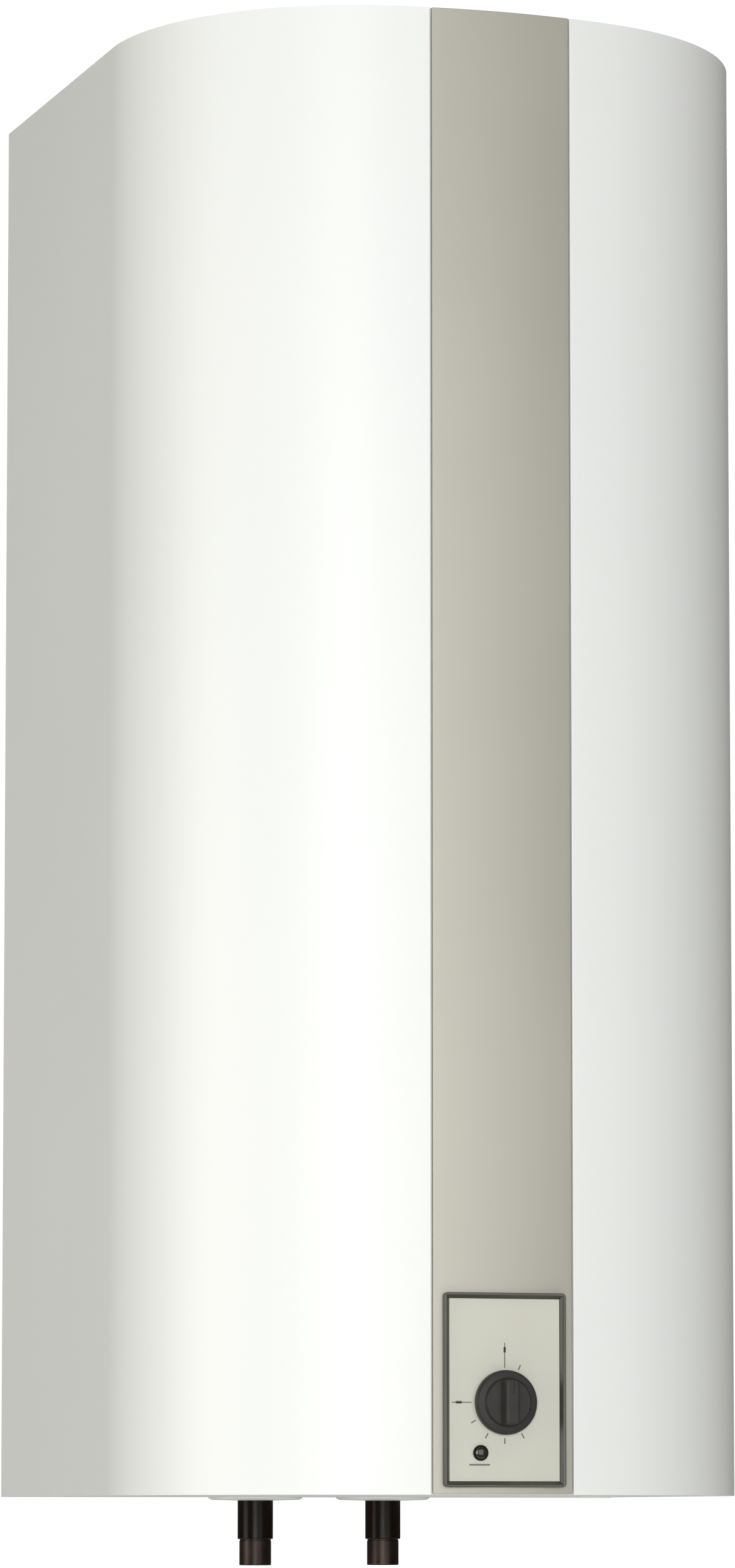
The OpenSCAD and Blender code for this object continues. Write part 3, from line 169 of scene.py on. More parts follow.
def finish(name, light, dark, gloss, metallic=0.0, cloud=4.0, cells=False, stretch=(1, 1, 1), grain=1500.0,
           ripple=0.1, shine=0.5):
    """Makes a procedural finish. gloss holds the lowest and highest roughness, cloud and grain are per metre."""
    material = bpy.data.materials.new(name)
    material.use_nodes = True
    nodes, links = material.node_tree.nodes, material.node_tree.links
    shader = nodes["Principled BSDF"]
    shader.inputs["Metallic"].default_value = metallic
    shader.inputs["Specular IOR Level"].default_value = shine
    place = nodes.new("ShaderNodeTexCoord")
    scale = nodes.new("ShaderNodeMapping")
    scale.inputs["Scale"].default_value = stretch
    links.new(place.outputs["Object"], scale.inputs["Vector"])
    slow = nodes.new("ShaderNodeTexVoronoi" if cells else "ShaderNodeTexNoise")
    slow.inputs["Scale"].default_value = cloud
    links.new(scale.outputs["Vector"], slow.inputs["Vector"])
    pattern = slow.outputs["Color" if cells else "Fac"]
    ramp = nodes.new("ShaderNodeValToRGB")
    ramp.color_ramp.elements[0].position = 0.0 if cells else 0.3
    ramp.color_ramp.elements[0].color = dark
    ramp.color_ramp.elements[1].position = 1.0 if cells else 0.7
    ramp.color_ramp.elements[1].color = light
    links.new(pattern, ramp.inputs["Fac"])
    links.new(ramp.outputs["Color"], shader.inputs["Base Color"])
    rough = nodes.new("ShaderNodeMapRange")
    rough.inputs["To Min"].default_value = gloss[0]
    rough.inputs["To Max"].default_value = gloss[1]
    links.new(pattern, rough.inputs["Value"])
    links.new(rough.outputs["Result"], shader.inputs["Roughness"])
    fine = nodes.new("ShaderNodeTexNoise")
    fine.inputs["Scale"].default_value = grain
    fine.inputs["Detail"].default_value = 3
    links.new(scale.outputs["Vector"], fine.inputs["Vector"])
    bump = nodes.new("ShaderNodeBump")
    bump.inputs["Strength"].default_value = ripple
    bump.inputs["Distance"].default_value = BUMP_DEPTH
    links.new(fine.outputs["Fac"], bump.inputs["Height"])
    links.new(bump.outputs["Normal"], shader.inputs["Normal"])
    return material


def add_finish(name, light, dark, gloss, **more):
    """Makes a finish from two screen colours and keeps it under its name."""
    finishes[name] = finish(name, colour(*light), colour(*dark), gloss, **more)


# %% [markdown]
# The names below are the material slots of the part's record, so that each piece, modelled here or carried over,
# finds its finish by its slot. Only the floor and the ink of the dial have names of their own. Screen colours read
# off the photograph are a little darker than the paint itself.

# %% Finishes of the casing and the controls
add_finish("white_enamel", (240, 240, 237), (237, 238, 235), (0.38, 0.46), cloud=2.5, grain=420, ripple=0.03)
add_finish("grey_trim", (183, 179, 168), (178, 174, 163), (0.46, 0.52),
           metallic=0.35, cloud=6, grain=2600, ripple=0.10)
add_finish("dark_bezel", (66, 66, 55), (56, 55, 45), (0.20, 0.28), cloud=25, grain=3000, ripple=0.06)
add_finish("panel_face", (204, 202, 189), (198, 196, 183), (0.40, 0.50), cloud=14, grain=3000, ripple=0.10)
add_finish("knob_plastic", (50, 47, 45), (40, 38, 36), (0.38, 0.46), cloud=60, grain=3500, ripple=0.25, shine=0.3)
add_finish("black_plastic", (23, 13, 7), (15, 8, 5), (0.22, 0.30), cloud=30, grain=2500, ripple=0.08, shine=0.13)
add_finish("lamp_smoke", (50, 45, 36), (34, 31, 25), (0.08, 0.14), cloud=90, grain=900, ripple=0.02)
add_finish("white_plastic", (232, 232, 228), (226, 226, 221), (0.35, 0.45), cloud=20, grain=2500, ripple=0.08)
add_finish("ink", (122, 120, 112), (108, 106, 98), (0.5, 0.6), cloud=200, grain=2500, ripple=0.05)
print("finishes so far:", len(finishes))

# %% Finishes of metal
add_finish("galvanised", (202, 205, 207), (176, 180, 183), (0.34, 0.48),
           metallic=1.0, cloud=110, cells=True, grain=1200, ripple=0.06)
add_finish("aged_pipe", (66, 55, 50), (38, 31, 28), (0.30, 0.46),
           metallic=0.85, cloud=70, stretch=(1, 1, 0.4), grain=1500, ripple=0.10)
add_finish("bright_steel", (214, 214, 212), (194, 194, 193), (0.36, 0.50),
           metallic=0.7, cloud=30, stretch=(1, 1, 0.1), grain=2200, ripple=0.06)
add_finish("black_steel", (66, 66, 68), (50, 50, 52), (0.45, 0.62), cloud=40, grain=1400, ripple=0.15)
add_finish("yellow_zinc", (214, 196, 140), (186, 164, 112), (0.28, 0.42),
           metallic=1.0, cloud=120, grain=2000, ripple=0.06)
add_finish("copper", (206, 132, 98), (164, 96, 70), (0.28, 0.45), metallic=1.0, cloud=60, grain=1800, ripple=0.06)
add_finish("anode_metal", (176, 176, 172), (140, 140, 137), (0.55, 0.75),
           metallic=0.9, cloud=60, grain=900, ripple=0.4)
add_finish("tank_enamel", (52, 82, 104), (40, 64, 84), (0.12, 0.22), cloud=12, grain=700, ripple=0.08)
print("finishes so far:", len(finishes))

# %% Finishes of the other inner pieces and the floor
add_finish("pale_thermoset", (222, 216, 198), (210, 203, 184), (0.50, 0.62), cloud=60, grain=2200, ripple=0.2)
add_finish("red_plastic", (190, 40, 36), (172, 32, 30), (0.35, 0.45), cloud=80, grain=2500, ripple=0.1)
add_finish("rubber", (44, 44, 43), (34, 34, 33), (0.60, 0.75), cloud=60, grain=1800, ripple=0.3)
add_finish("foam", (226, 208, 150), (206, 186, 124), (0.75, 0.95), cloud=45, grain=800, ripple=0.8)
add_finish("lead_brown", (120, 74, 48), (104, 62, 40), (0.38, 0.48), cloud=80, grain=2500, ripple=0.08)
add_finish("lead_black", (40, 40, 40), (30, 30, 30), (0.38, 0.48), cloud=80, grain=2500, ripple=0.08)
add_finish("lead_blue", (50, 92, 178), (40, 78, 160), (0.38, 0.48), cloud=80, grain=2500, ripple=0.08)
add_finish("lead_earth", (216, 200, 48), (60, 140, 52), (0.38, 0.48),
           cloud=140, cells=True, grain=2500, ripple=0.08)
add_finish("floor", (246, 246, 246), (242, 242, 242), (0.7, 0.8), cloud=0.8, grain=90, ripple=0.05)
floor.data.materials.append(finishes["floor"])
print("finishes so far:", len(finishes))

# %% [markdown]
# The solids that stay in view, or stay hidden inside the casing, take the finish of their own slot.

# %% Finishes for the solids
for row in frame["record"]["subparts"]:
    mesh = cad_nodes[row["node"]].data
    mesh.materials.clear()
    mesh.materials.append(finishes[row["material_slot"]])

# %% [markdown]
# ## Hand tools
#
# Each piece below is modelled as by hand: a primitive is the start, edit mode does the shaping, and modifiers
# finish it. These few helpers keep the cells short. An operator acts on everything selected, so `fresh` always
# clears the selection first, and `pick` selects by place or by normal.


# %% Selecting
def fresh():
    """Leaves edit mode and deselects everything."""
    if bpy.context.mode != "OBJECT":
        bpy.ops.object.mode_set(mode="OBJECT")
    bpy.ops.object.select_all(action="DESELECT")


def work_on(piece):
    """Selects one piece alone, in object mode."""
    fresh()
    piece.select_set(True)
    bpy.context.view_layer.objects.active = piece


def pick(kind, test):
    """In edit mode, selects the VERT, EDGE or FACE elements that pass the test, and returns how many."""
    bpy.ops.mesh.select_mode(type=kind)
    bpy.ops.mesh.select_all(action="DESELECT")
    mesh = bpy.context.edit_object.data
    grid = bmesh.from_edit_mesh(mesh)
    found = [e for e in {"VERT": grid.verts, "EDGE": grid.edges, "FACE": grid.faces}[kind] if test(e)]
    for element in found:
        element.select_set(True)
    grid.select_flush_mode()
    bmesh.update_edit_mesh(mesh)
    return len(found)


def middle(edge):
    """The middle of an edge, in millimetres."""
    return (edge.verts[0].co + edge.verts[1].co) / 2 / MM


def to_front(face):
    """Whether a face looks out of the front."""
    return face.normal.y < -0.9


def is_fold(edge, degrees=30):
    """Whether two faces meet at an edge with a clear angle."""
    return len(edge.link_faces) == 2 and edge.calc_face_angle() > math.radians(degrees)


# %% Drawing a line, turning it, and rounding edges
MERGE = 0.01 * MM
NEAR = 0.1


def start_line(name, x, y, z):
    """Starts a new piece as a single point, in millimetres, in edit mode."""
    fresh()
    bpy.ops.mesh.primitive_plane_add(size=MM, location=(x * MM, y * MM, z * MM))
    piece = bpy.context.object
    piece.name = piece.data.name = name
    bpy.ops.object.transform_apply(location=True)
    bpy.ops.object.mode_set(mode="EDIT")
    bpy.ops.mesh.select_mode(type="VERT")
    bpy.ops.mesh.select_all(action="SELECT")
    bpy.ops.mesh.merge(type="CENTER")
    return piece


def push(x, y, z):
    """Extrudes what is selected by a step in millimetres."""
    bpy.ops.mesh.extrude_region_move(TRANSFORM_OT_translate={"value": (x * MM, y * MM, z * MM)})


def arc(degrees, steps, x, y):
    """Spins the selected point anticlockwise, seen from above, round an upright line through x, y."""
    bpy.ops.mesh.spin(steps=steps, angle=math.radians(degrees), center=(x * MM, y * MM, 0), axis=(0, 0, -1))


def tidy_faces():
    """Merges doubles and turns all faces outwards."""
    bpy.ops.mesh.select_all(action="SELECT")
    bpy.ops.mesh.remove_doubles(threshold=MERGE)
    bpy.ops.mesh.normals_make_consistent(inside=False)


def turned(name, foot, outline, front=False, steps=48):
    """Turns an outline of (radius, height) points round an axis through foot: upright, or out of the front."""
    x, y, z = foot
    places = [(x + r, y - h, z) if front else (x + r, y, z + h) for r, h in outline]
    piece = start_line(name, *places[0])
    for here, there in zip(places, places[1:]):
        push(*[b - a for a, b in zip(here, there)])
    bpy.ops.mesh.select_all(action="SELECT")
    axis = (0, -1, 0) if front else (0, 0, 1)
    bpy.ops.mesh.spin(steps=steps, angle=math.tau, center=[c * MM for c in foot], axis=axis)
    tidy_faces()
    return piece


def ease(width, steps=3, where=lambda m: True):
    """Rounds the folds whose middle passes the test."""
    found = pick("EDGE", lambda e: is_fold(e) and where(middle(e)))
    if found:
        bpy.ops.mesh.bevel(offset=width * MM, segments=steps, affect="EDGES", clamp_overlap=True)
    return found


# %% Blocks, modifiers and handing over
SLIVER = 0.001 * MM


def block(name, low, high):
    """Adds a box between two corners in millimetres, as a start, and goes into edit mode."""
    fresh()
    bpy.ops.mesh.primitive_cube_add(size=1, location=[(a + b) / 2 * MM for a, b in zip(low, high)])
    piece = bpy.context.object
    piece.name = piece.data.name = name
    piece.scale = [(b - a) * MM for a, b in zip(low, high)]
    bpy.ops.object.transform_apply(location=True, scale=True)
    bpy.ops.object.mode_set(mode="EDIT")
    return piece


def modify(piece, kind, **settings):
    """Adds a modifier with its settings and applies it."""
    work_on(piece)
    modifier = piece.modifiers.new(kind.lower(), kind)
    for key, value in settings.items():
        setattr(modifier, key, value)
    bpy.ops.object.modifier_apply(modifier=modifier.name)


def carve(piece, tool, how="DIFFERENCE"):
    """Cuts a piece with another one, or joins them into one skin, and removes the tool."""
    fresh()
    modify(piece, "BOOLEAN", object=tool, operation=how, solver="EXACT")
    bpy.data.objects.remove(tool)


def join(piece, *others):
    """Joins other meshes into a piece."""
    work_on(piece)
    for other in others:
        other.select_set(True)
    bpy.ops.object.join()


def hand_over(piece, slot, *stands_for, body="heater", smooth=35):
    """Clears a finished piece of slivers and gives it its shading, its finish and its place among the solids."""
    work_on(piece)
    bpy.ops.object.mode_set(mode="EDIT")
    bpy.ops.mesh.select_all(action="SELECT")
    bpy.ops.mesh.remove_doubles(threshold=SLIVER)
    bpy.ops.mesh.dissolve_degenerate(threshold=SLIVER)
    bpy.ops.object.mode_set(mode="OBJECT")
    bpy.ops.object.shade_smooth_by_angle(angle=math.radians(smooth))
    modify(piece, "WEIGHTED_NORMAL", keep_sharp=True)
    piece.data.materials.clear()
    piece.data.materials.append(finishes[slot])
    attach(piece, body)
    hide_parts(*stands_for)
    print(piece.name, "has", len(piece.data.polygons), "faces")


# %% [markdown]
# ## The jacket
#
# The jacket is one sheet of enamelled steel, bent round the front and flanks like a wide letter D. Its front is a
# large arc, the corners are tighter arcs, and a shallow channel down the middle takes the grey strip. It could be
# cut from a cylinder, but drawing the plan as a line and pulling it up is how the sheet is really formed. The plan
# is drawn with straight steps and spins round three centres, then extruded upwards in three steps, so that the
# window for the control panel can be deleted from the channel's floor.

# %% The plan of the casing
HALF_W, FRONT_R, FRONT_Y = 213, 373, -69
CORNER_R, CORNER_X, CORNER_Y = 168, 45, -269
BOTTOM, TOP, SHEET_T = -860, 100, 1
STRIP_HALF, STRIP_T, STRIP_GAP, STRIP_SEAT = 47, 3.2, 1, 0.2
CHANNEL_HALF, CHANNEL_R = STRIP_HALF + STRIP_GAP, FRONT_R - STRIP_T - STRIP_SEAT
WINDOW_HALF, WINDOW_LOW, WINDOW_HIGH = 39.45, -853.7, -733.3
BOW = math.degrees(math.asin(CORNER_X / (FRONT_R - CORNER_R)))
CORNER_STEPS, BOW_STEPS, EDGE_STEPS, WINDOW_STEPS = 36, 4, 2, 10


def bow_angle(x, radius):
    """The angle, seen from the bow's centre, of a point x to the side."""
    return math.degrees(math.asin(x / radius))


def bow_y(x, radius=FRONT_R):
    """How far forward the bow lies at x."""
    return FRONT_Y - math.sqrt(radius**2 - x**2)


def draw_plan(name, z, inset, back, notch, notch_r, flange=0):
    """Draws the casing's plan as a line, from the left rear round the front to the right rear."""
    side, radius = HALF_W - inset, FRONT_R - inset
    piece = start_line(name, flange - side, back, z)
    if flange:
        push(-flange, 0, 0)
    push(0, CORNER_Y - back, 0)
    arc(90 - BOW, CORNER_STEPS, -CORNER_X, CORNER_Y)
    arc(BOW - bow_angle(notch, radius), BOW_STEPS, 0, FRONT_Y)
    push(0, bow_y(notch, notch_r) - bow_y(notch, radius), 0)
    edge, window = bow_angle(notch, notch_r), bow_angle(WINDOW_HALF, notch_r)
    arc(edge - window, EDGE_STEPS, 0, FRONT_Y)
    arc(2 * window, WINDOW_STEPS, 0, FRONT_Y)
    arc(edge - window, EDGE_STEPS, 0, FRONT_Y)
    push(0, bow_y(notch, radius) - bow_y(notch, notch_r), 0)
    arc(BOW - bow_angle(notch, radius), BOW_STEPS, 0, FRONT_Y)
    arc(90 - BOW, CORNER_STEPS, CORNER_X, CORNER_Y)
    push(0, back - CORNER_Y, 0)
    if flange:
        push(-flange, 0, 0)
    return piece


def pull_up(heights):
    """Extrudes a drawn line upwards through a list of heights."""
    bpy.ops.mesh.select_all(action="SELECT")
    for low, high in zip(heights, heights[1:]):
        push(0, 0, high - low)


def open_window():
    """Deletes the faces where the control panel goes through the sheet."""
    def in_window(face):
        x, y, z = face.calc_center_median() / MM
        return abs(x) < WINDOW_HALF and y < CORNER_Y and WINDOW_LOW < z < WINDOW_HIGH

    pick("FACE", in_window)
    bpy.ops.mesh.delete(type="FACE")


print("the front's large arc spans", round(2 * BOW, 1), "degrees")

# %% The jacket's sheet
REAR_FLANGE, CHANNEL_ZONE, REAR_ZONE = 24, -400, -1
jacket = draw_plan("jacket_sheet", BOTTOM, 0, 0, CHANNEL_HALF, CHANNEL_R, flange=REAR_FLANGE)
pull_up([BOTTOM, WINDOW_LOW, WINDOW_HIGH, TOP])
open_window()
tidy_faces()
ease(0.7, 3, lambda m: m.y < CHANNEL_ZONE)
ease(2.0, 4, lambda m: m.y > REAR_ZONE)
modify(jacket, "SOLIDIFY", thickness=SHEET_T * MM, offset=-1)
bpy.ops.object.mode_set(mode="EDIT")
end_edges = ease(0.3, 2, lambda m: m.z < BOTTOM + NEAR or m.z > TOP - NEAR)
print("edges rounded at the sheet's two ends:", end_edges)

# %% [markdown]
# Both ends of the sheet are folded inwards as a narrow lip, and the covers are screwed to these lips. A lip is the
# same plan drawn twice, the second time further in, and the two lines are bridged.

# %% Lips for the covers
LIP_W, LIP_DEEP = 14, 1.8


def close_plan():
    """Joins the two ends of a drawn line."""
    pick("VERT", lambda v: len(v.link_edges) == 1)
    bpy.ops.mesh.edge_face_add()


def lip(z):
    """A flat ring inside the jacket's end."""
    inner = draw_plan("lip_inner", z, LIP_W, -LIP_W, CHANNEL_HALF + SHEET_T, CHANNEL_R - LIP_W)
    close_plan()
    ring = draw_plan("lip", z, SHEET_T, -SHEET_T, CHANNEL_HALF + SHEET_T, CHANNEL_R - SHEET_T)
    close_plan()
    join(ring, inner)
    bpy.ops.object.mode_set(mode="EDIT")
    bpy.ops.mesh.select_all(action="SELECT")
    bpy.ops.mesh.bridge_edge_loops()
    bpy.ops.mesh.normals_make_consistent(inside=False)
    modify(ring, "SOLIDIFY", thickness=SHEET_T * MM, offset=0)
    return ring


fresh()
join(jacket, lip(BOTTOM + LIP_DEEP), lip(TOP - LIP_DEEP))
hand_over(jacket, "white_enamel", "jacket")

# %% [markdown]
# ## The covers
#
# A flat cover lies flush in each end of the jacket, with a fine seam all round. It is the same plan again, drawn a
# little smaller, filled and thickened, and its edge is rounded as pressed sheet is. Turned cutters then make the
# countersunk holes for the screws, and plain holes for the pipes, the cable and the filling plug: without them a
# screw's head would lie in the same plane as the sheet, and the two would flicker.

# %% Covers
SCREW_PLACES = [(s * x, y) for s in (-1, 1) for x, y in ((205, -28), (205, -269), (158.1, -382.1))]
PIPE_X, PIPE_Y = 46.5, -59
CABLE_AT, PLUG_AT = (140, -230), (0, -110.5)
PIPE_HOLE, CABLE_HOLE, PLUG_HOLE = 12.4, 9, 12
COVER_GAP, COVER_T = 1.4, 1.2
SINK_OUTLINE = [(0, -0.15), (3.59, -0.15), (1.9, 1.2), (1.9, 2), (0, 2)]


def cover(name, z, inward, *holes):
    """A cover plate with its outer face at z, and with round holes given as x, y and radius."""
    plate = draw_plan(name, z, COVER_GAP, -COVER_GAP, CHANNEL_HALF + COVER_GAP, CHANNEL_R - COVER_GAP)
    bpy.ops.mesh.select_all(action="SELECT")
    bpy.ops.mesh.edge_face_add()
    push(0, 0, COVER_T * inward)
    tidy_faces()
    ease(0.35, 2)
    sink = [(r, h * inward) for r, h in SINK_OUTLINE]
    for x, y in SCREW_PLACES:
        carve(plate, turned("countersink", (x, y, z), sink, steps=24))
    for x, y, radius in holes:
        drill = [(0, -inward), (radius, -inward), (radius, 2 * inward), (0, 2 * inward)]
        carve(plate, turned("drill", (x, y, z), drill))
    return plate


pipe_holes = [(side * PIPE_X, PIPE_Y, PIPE_HOLE) for side in (-1, 1)]
top_cover = cover("top_cover_plate", TOP, -1, (*PLUG_AT, PLUG_HOLE))
hand_over(top_cover, "white_enamel", "top_cover")
bottom_cover = cover("bottom_cover_plate", BOTTOM, 1, *pipe_holes, (*CABLE_AT, CABLE_HOLE))
hand_over(bottom_cover, "white_enamel", "bottom_cover")

# %% [markdown]
# ## Cover screws
#
# Each cover is held by countersunk screws with a cross recess. One screw is turned from an outline, its recess is
# carved with two crossed bars, and the copies are placed by their positions on the lip. Each copy is turned a little
# further than the one before, because no two screws stop at the same angle.

# %% Cover screws
SCREW_OUTLINE = [(0, 0), (3.1, 0), (3.25, 0.15), (1.75, 1.2), (1.75, 8.4), (1.2, 9), (0, 9)]
RECESS_LONG, RECESS_SHORT, RECESS_DEEP = 1.9, 0.38, 0.75
SCREW_TURN = 0.4


def screw(name):
    """One countersunk screw, its head at the origin and its shank upwards."""
    made = turned(name, (0, 0, 0), SCREW_OUTLINE, steps=24)
    for x, y in ((RECESS_LONG, RECESS_SHORT), (RECESS_SHORT, RECESS_LONG)):
        carve(made, block("recess", (-x, -y, -0.5), (x, y, RECESS_DEEP)))
    return made


def screw_set(name, z, turn):
    """A screw at every place of one cover."""
    made = []
    first = screw(name)
    for x, y in SCREW_PLACES:
        work_on(first)
        bpy.ops.object.duplicate()
        one = bpy.context.object
        one.rotation_euler = (turn, 0, SCREW_TURN * len(made))
        one.location = (x * MM, y * MM, z * MM)
        bpy.ops.object.transform_apply()
        made.append(one)
    bpy.data.objects.remove(first)
    join(*made)
    made[0].name = name
    return made[0]


hand_over(screw_set("top_screw_heads", TOP, math.pi), "bright_steel", "top_cover_screws")
hand_over(screw_set("bottom_screw_heads", BOTTOM, 0), "bright_steel", "bottom_cover_screws")

# %% [markdown]
# ## The grey strip
#
# One satin grey trim strip runs down the whole front, flush with the jacket, and leaves a hairline on either side.
# It follows the same bow, so it is a short arc on the same centre, pulled up, opened behind the control panel, and
# thickened inwards.

# %% Grey strip
STRIP_LOW = span("front_strip")[0][2]
STRIP_EDGE_STEPS, STRIP_WINDOW_STEPS = 3, 16
strip = start_line("strip_trim", -STRIP_HALF, bow_y(STRIP_HALF), STRIP_LOW)
strip_edge, strip_window = bow_angle(STRIP_HALF, FRONT_R), bow_angle(WINDOW_HALF, FRONT_R)
arc(strip_edge - strip_window, STRIP_EDGE_STEPS, 0, FRONT_Y)
arc(2 * strip_window, STRIP_WINDOW_STEPS, 0, FRONT_Y)
arc(strip_edge - strip_window, STRIP_EDGE_STEPS, 0, FRONT_Y)
pull_up([STRIP_LOW, WINDOW_LOW, WINDOW_HIGH, TOP])
open_window()
tidy_faces()
modify(strip, "SOLIDIFY", thickness=STRIP_T * MM, offset=-1)
bpy.ops.object.mode_set(mode="EDIT")
ease(0.4, 3)
hand_over(strip, "grey_trim", "front_strip")

# %% [markdown]
# ## The control panel
#
# A dark moulded frame stands a little in front of the strip. Its rear edge has to follow the bow, so the block is
# carved with a drum of the casing's own radius. A collar goes back through the sheet, and the window holds the light
# face on a narrow ledge. In the photograph the frame is lighter inside its right and lower bars than outside them:
# it slopes down to the face, and those slopes look up to the light.

# %% Dark frame
BEZEL_W, BEZEL_H, BEZEL_Z, BEZEL_FRONT = 81.9, 123.4, -793.5, span("control_bezel")[0][1]
FACE_Y, FACE_BACK = [corner[1] for corner in span("control_panel")]
LEDGE_Y = FACE_BACK + 0.2
COLLAR, WINDOW, OPENING = (77.9, 119.4), (74.9, 116.4), (71.9, 113.4)
COLLAR_L, SLOPE_L, SLOPE_SPREAD = 14, 4, 7.2
FAR_FRONT, BEZEL_BACK, FAR_BACK = -460, -434, -400
DRUM_STEPS, DRUM_L = 512, 400


def panel_block(name, width, height, front, back):
    """A box centred on the control panel."""
    return block(name, (-width / 2, front, BEZEL_Z - height / 2), (width / 2, back, BEZEL_Z + height / 2))


bezel = panel_block("bezel_frame", BEZEL_W, BEZEL_H, BEZEL_FRONT, BEZEL_BACK)
ease(2.5, 5, lambda m: abs(abs(m.x) - BEZEL_W / 2) < NEAR and abs(abs(m.z - BEZEL_Z) - BEZEL_H / 2) < NEAR)
fresh()
bpy.ops.mesh.primitive_cylinder_add(vertices=DRUM_STEPS, radius=(FRONT_R + STRIP_SEAT) * MM, depth=DRUM_L * MM,
                                    location=(0, FRONT_Y * MM, BEZEL_Z * MM))
carve(bezel, bpy.context.object)
carve(bezel, panel_block("collar", *COLLAR, FACE_Y + 0.2, LEDGE_Y + COLLAR_L), "UNION")
carve(bezel, panel_block("window", *WINDOW, FAR_FRONT, LEDGE_Y))
carve(bezel, panel_block("opening", *OPENING, FAR_FRONT, FAR_BACK))
slope = panel_block("slope", *WINDOW, FACE_Y - SLOPE_L, FACE_Y)
pick("FACE", to_front)
spread_x, spread_z = [1 + SLOPE_SPREAD / size for size in WINDOW]
bpy.ops.transform.resize(value=(spread_x, 1, spread_z), center_override=(0, 0, BEZEL_Z * MM))
carve(bezel, slope)
bpy.ops.object.mode_set(mode="EDIT")
tidy_faces()
front_edges = ease(0.4, 3, lambda m: m.y < BEZEL_FRONT + NEAR / 2)
print("edges rounded on the frame's front:", front_edges)

# %% [markdown]
# Four wedges on the collar snap behind the jacket's sheet and hold the frame. Each is a small block whose front edge
# is pulled outwards, so that it slopes towards the rear, and it is joined to the collar as one skin.

# %% Snap hooks
SNAP_X, SNAP_Y, SNAP_LEVEL = 38, -434.9, 29.85
SNAP_HALF, SNAP_L, SNAP_RISE = 6, 5, 1.35
for side in (-1, 1):
    for level in (-SNAP_LEVEL, SNAP_LEVEL):
        x, z = side * SNAP_X, BEZEL_Z + level
        hook = block("hook", (x - 1, SNAP_Y, z - SNAP_HALF), (x + 1, SNAP_Y + SNAP_L, z + SNAP_HALF))
        pick("VERT", lambda v: v.co.y < (SNAP_Y + 1) * MM and v.co.x * side > SNAP_X * MM)
        bpy.ops.transform.translate(value=(side * SNAP_RISE * MM, 0, 0))
        carve(bezel, hook, "UNION")
hand_over(bezel, "dark_bezel", "control_bezel")

# %% [markdown]
# The face is a flat moulding that sits two millimetres behind the frame's front. A block with rounded front edges is
# enough: the holes for the dial's spindle and the lamp are always covered by the knob and by the lamp's rim.

# %% Light face
FACE = (74.5, 116)
face = panel_block("panel_face", *FACE, FACE_Y, FACE_BACK)
ease(0.4, 3, lambda m: m.y < FACE_Y + NEAR)
hand_over(face, "panel_face", "control_panel")

# %% [markdown]
# ## Dial marks
#
# The printed scale round the knob is made of thin raised bars, because real print is a film of ink too. A long line
# with a dot points to nine o'clock, another to twelve, and short ticks stand at the other settings.

# %% Dial marks
KNOB_Z = -801.5
INK_OUT, INK_IN = 0.06, 0.02


def bar(x, z, length, width, degrees=0):
    """A printed bar on the face, its length along the given direction, anticlockwise from three o'clock."""
    made = block("bar", (-length / 2, -INK_OUT, -width / 2), (length / 2, INK_IN, width / 2))
    ease(0.03, 1)
    work_on(made)
    made.rotation_euler = (0, -math.radians(degrees), 0)
    made.location = (x * MM, FACE_Y * MM, z * MM)
    bpy.ops.object.transform_apply()
    return made


def tick(degrees, inner, outer, width):
    """A radial tick round the knob."""
    reach, turn = (inner + outer) / 2, math.radians(degrees)
    return bar(reach * math.cos(turn), KNOB_Z + reach * math.sin(turn), outer - inner, width, degrees)


LINES = [(180, 22.3, 35.6, 0.7), (90, 22.0, 38.0, 0.7)]
SHORT_TICKS = [(degrees, 22.6, 26.2, 0.9) for degrees in (66, 210, 240, 270, 300)]
BARS = [(-31.0, KNOB_Z, 4.0, 1.8), (0, KNOB_Z + 33.5, 1.8, 3.4), (-17.0, KNOB_Z - 39.5, 14.0, 1.1)]
marks = [tick(*row) for row in LINES + SHORT_TICKS] + [bar(*row) for row in BARS]
join(*marks)
marks[0].name = "dial_marks"
marks[0].data.materials.clear()
marks[0].data.materials.append(finishes["ink"])
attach(marks[0], "heater")
print("dial marks:", len(marks))

# %% [markdown]
# ## The dial knob
#
# The knob is a moulding with a wide skirt, a low drum and a grip bar across it. Skirt and drum are turned from an
# outline. The bar is a block whose top is drawn in, so that it tapers, and it is carved to the round of the drum
# before the two are joined into one skin.

# %% Dial knob
KNOB_Y = span("thermostat_knob")[1][1]
KNOB_OUTLINE = [(0, 0.6), (18, 0.6), (18, 0), (20.5, 0), (20.5, 3.6), (19.2, 5), (15.6, 5.4), (14.6, 8), (0, 8)]
ROUNDER_OUTLINE = [(0, 2), (15.5, 2), (13.6, 17), (0, 17)]
GRIP_W, GRIP_L, GRIP_TOP_W, GRIP_TOP_L = 11.5, 31, 8.5, 28
GRIP_BACK, GRIP_FRONT = KNOB_Y - 4, KNOB_Y - 16
GROOVE_HALF, GROOVE_DEEP, GROOVE_FROM, GROOVE_TO = 0.6, 0.6, KNOB_Z + 5, KNOB_Z + 20
knob_at = (0, KNOB_Y, KNOB_Z)
knob = turned("dial_knob", knob_at, KNOB_OUTLINE, front=True, steps=72)
ease(0.5, 3)
grip = block("grip", (-GRIP_W / 2, GRIP_FRONT, KNOB_Z - GRIP_L / 2), (GRIP_W / 2, GRIP_BACK, KNOB_Z + GRIP_L / 2))
pick("FACE", to_front)
bpy.ops.transform.resize(value=(GRIP_TOP_W / GRIP_W, 1, GRIP_TOP_L / GRIP_L),
                         center_override=[c * MM for c in knob_at])
ease(1.1, 4)
rounder = turned("rounder", knob_at, ROUNDER_OUTLINE, front=True, steps=72)
fresh()
carve(grip, rounder, "INTERSECT")
carve(knob, grip, "UNION")
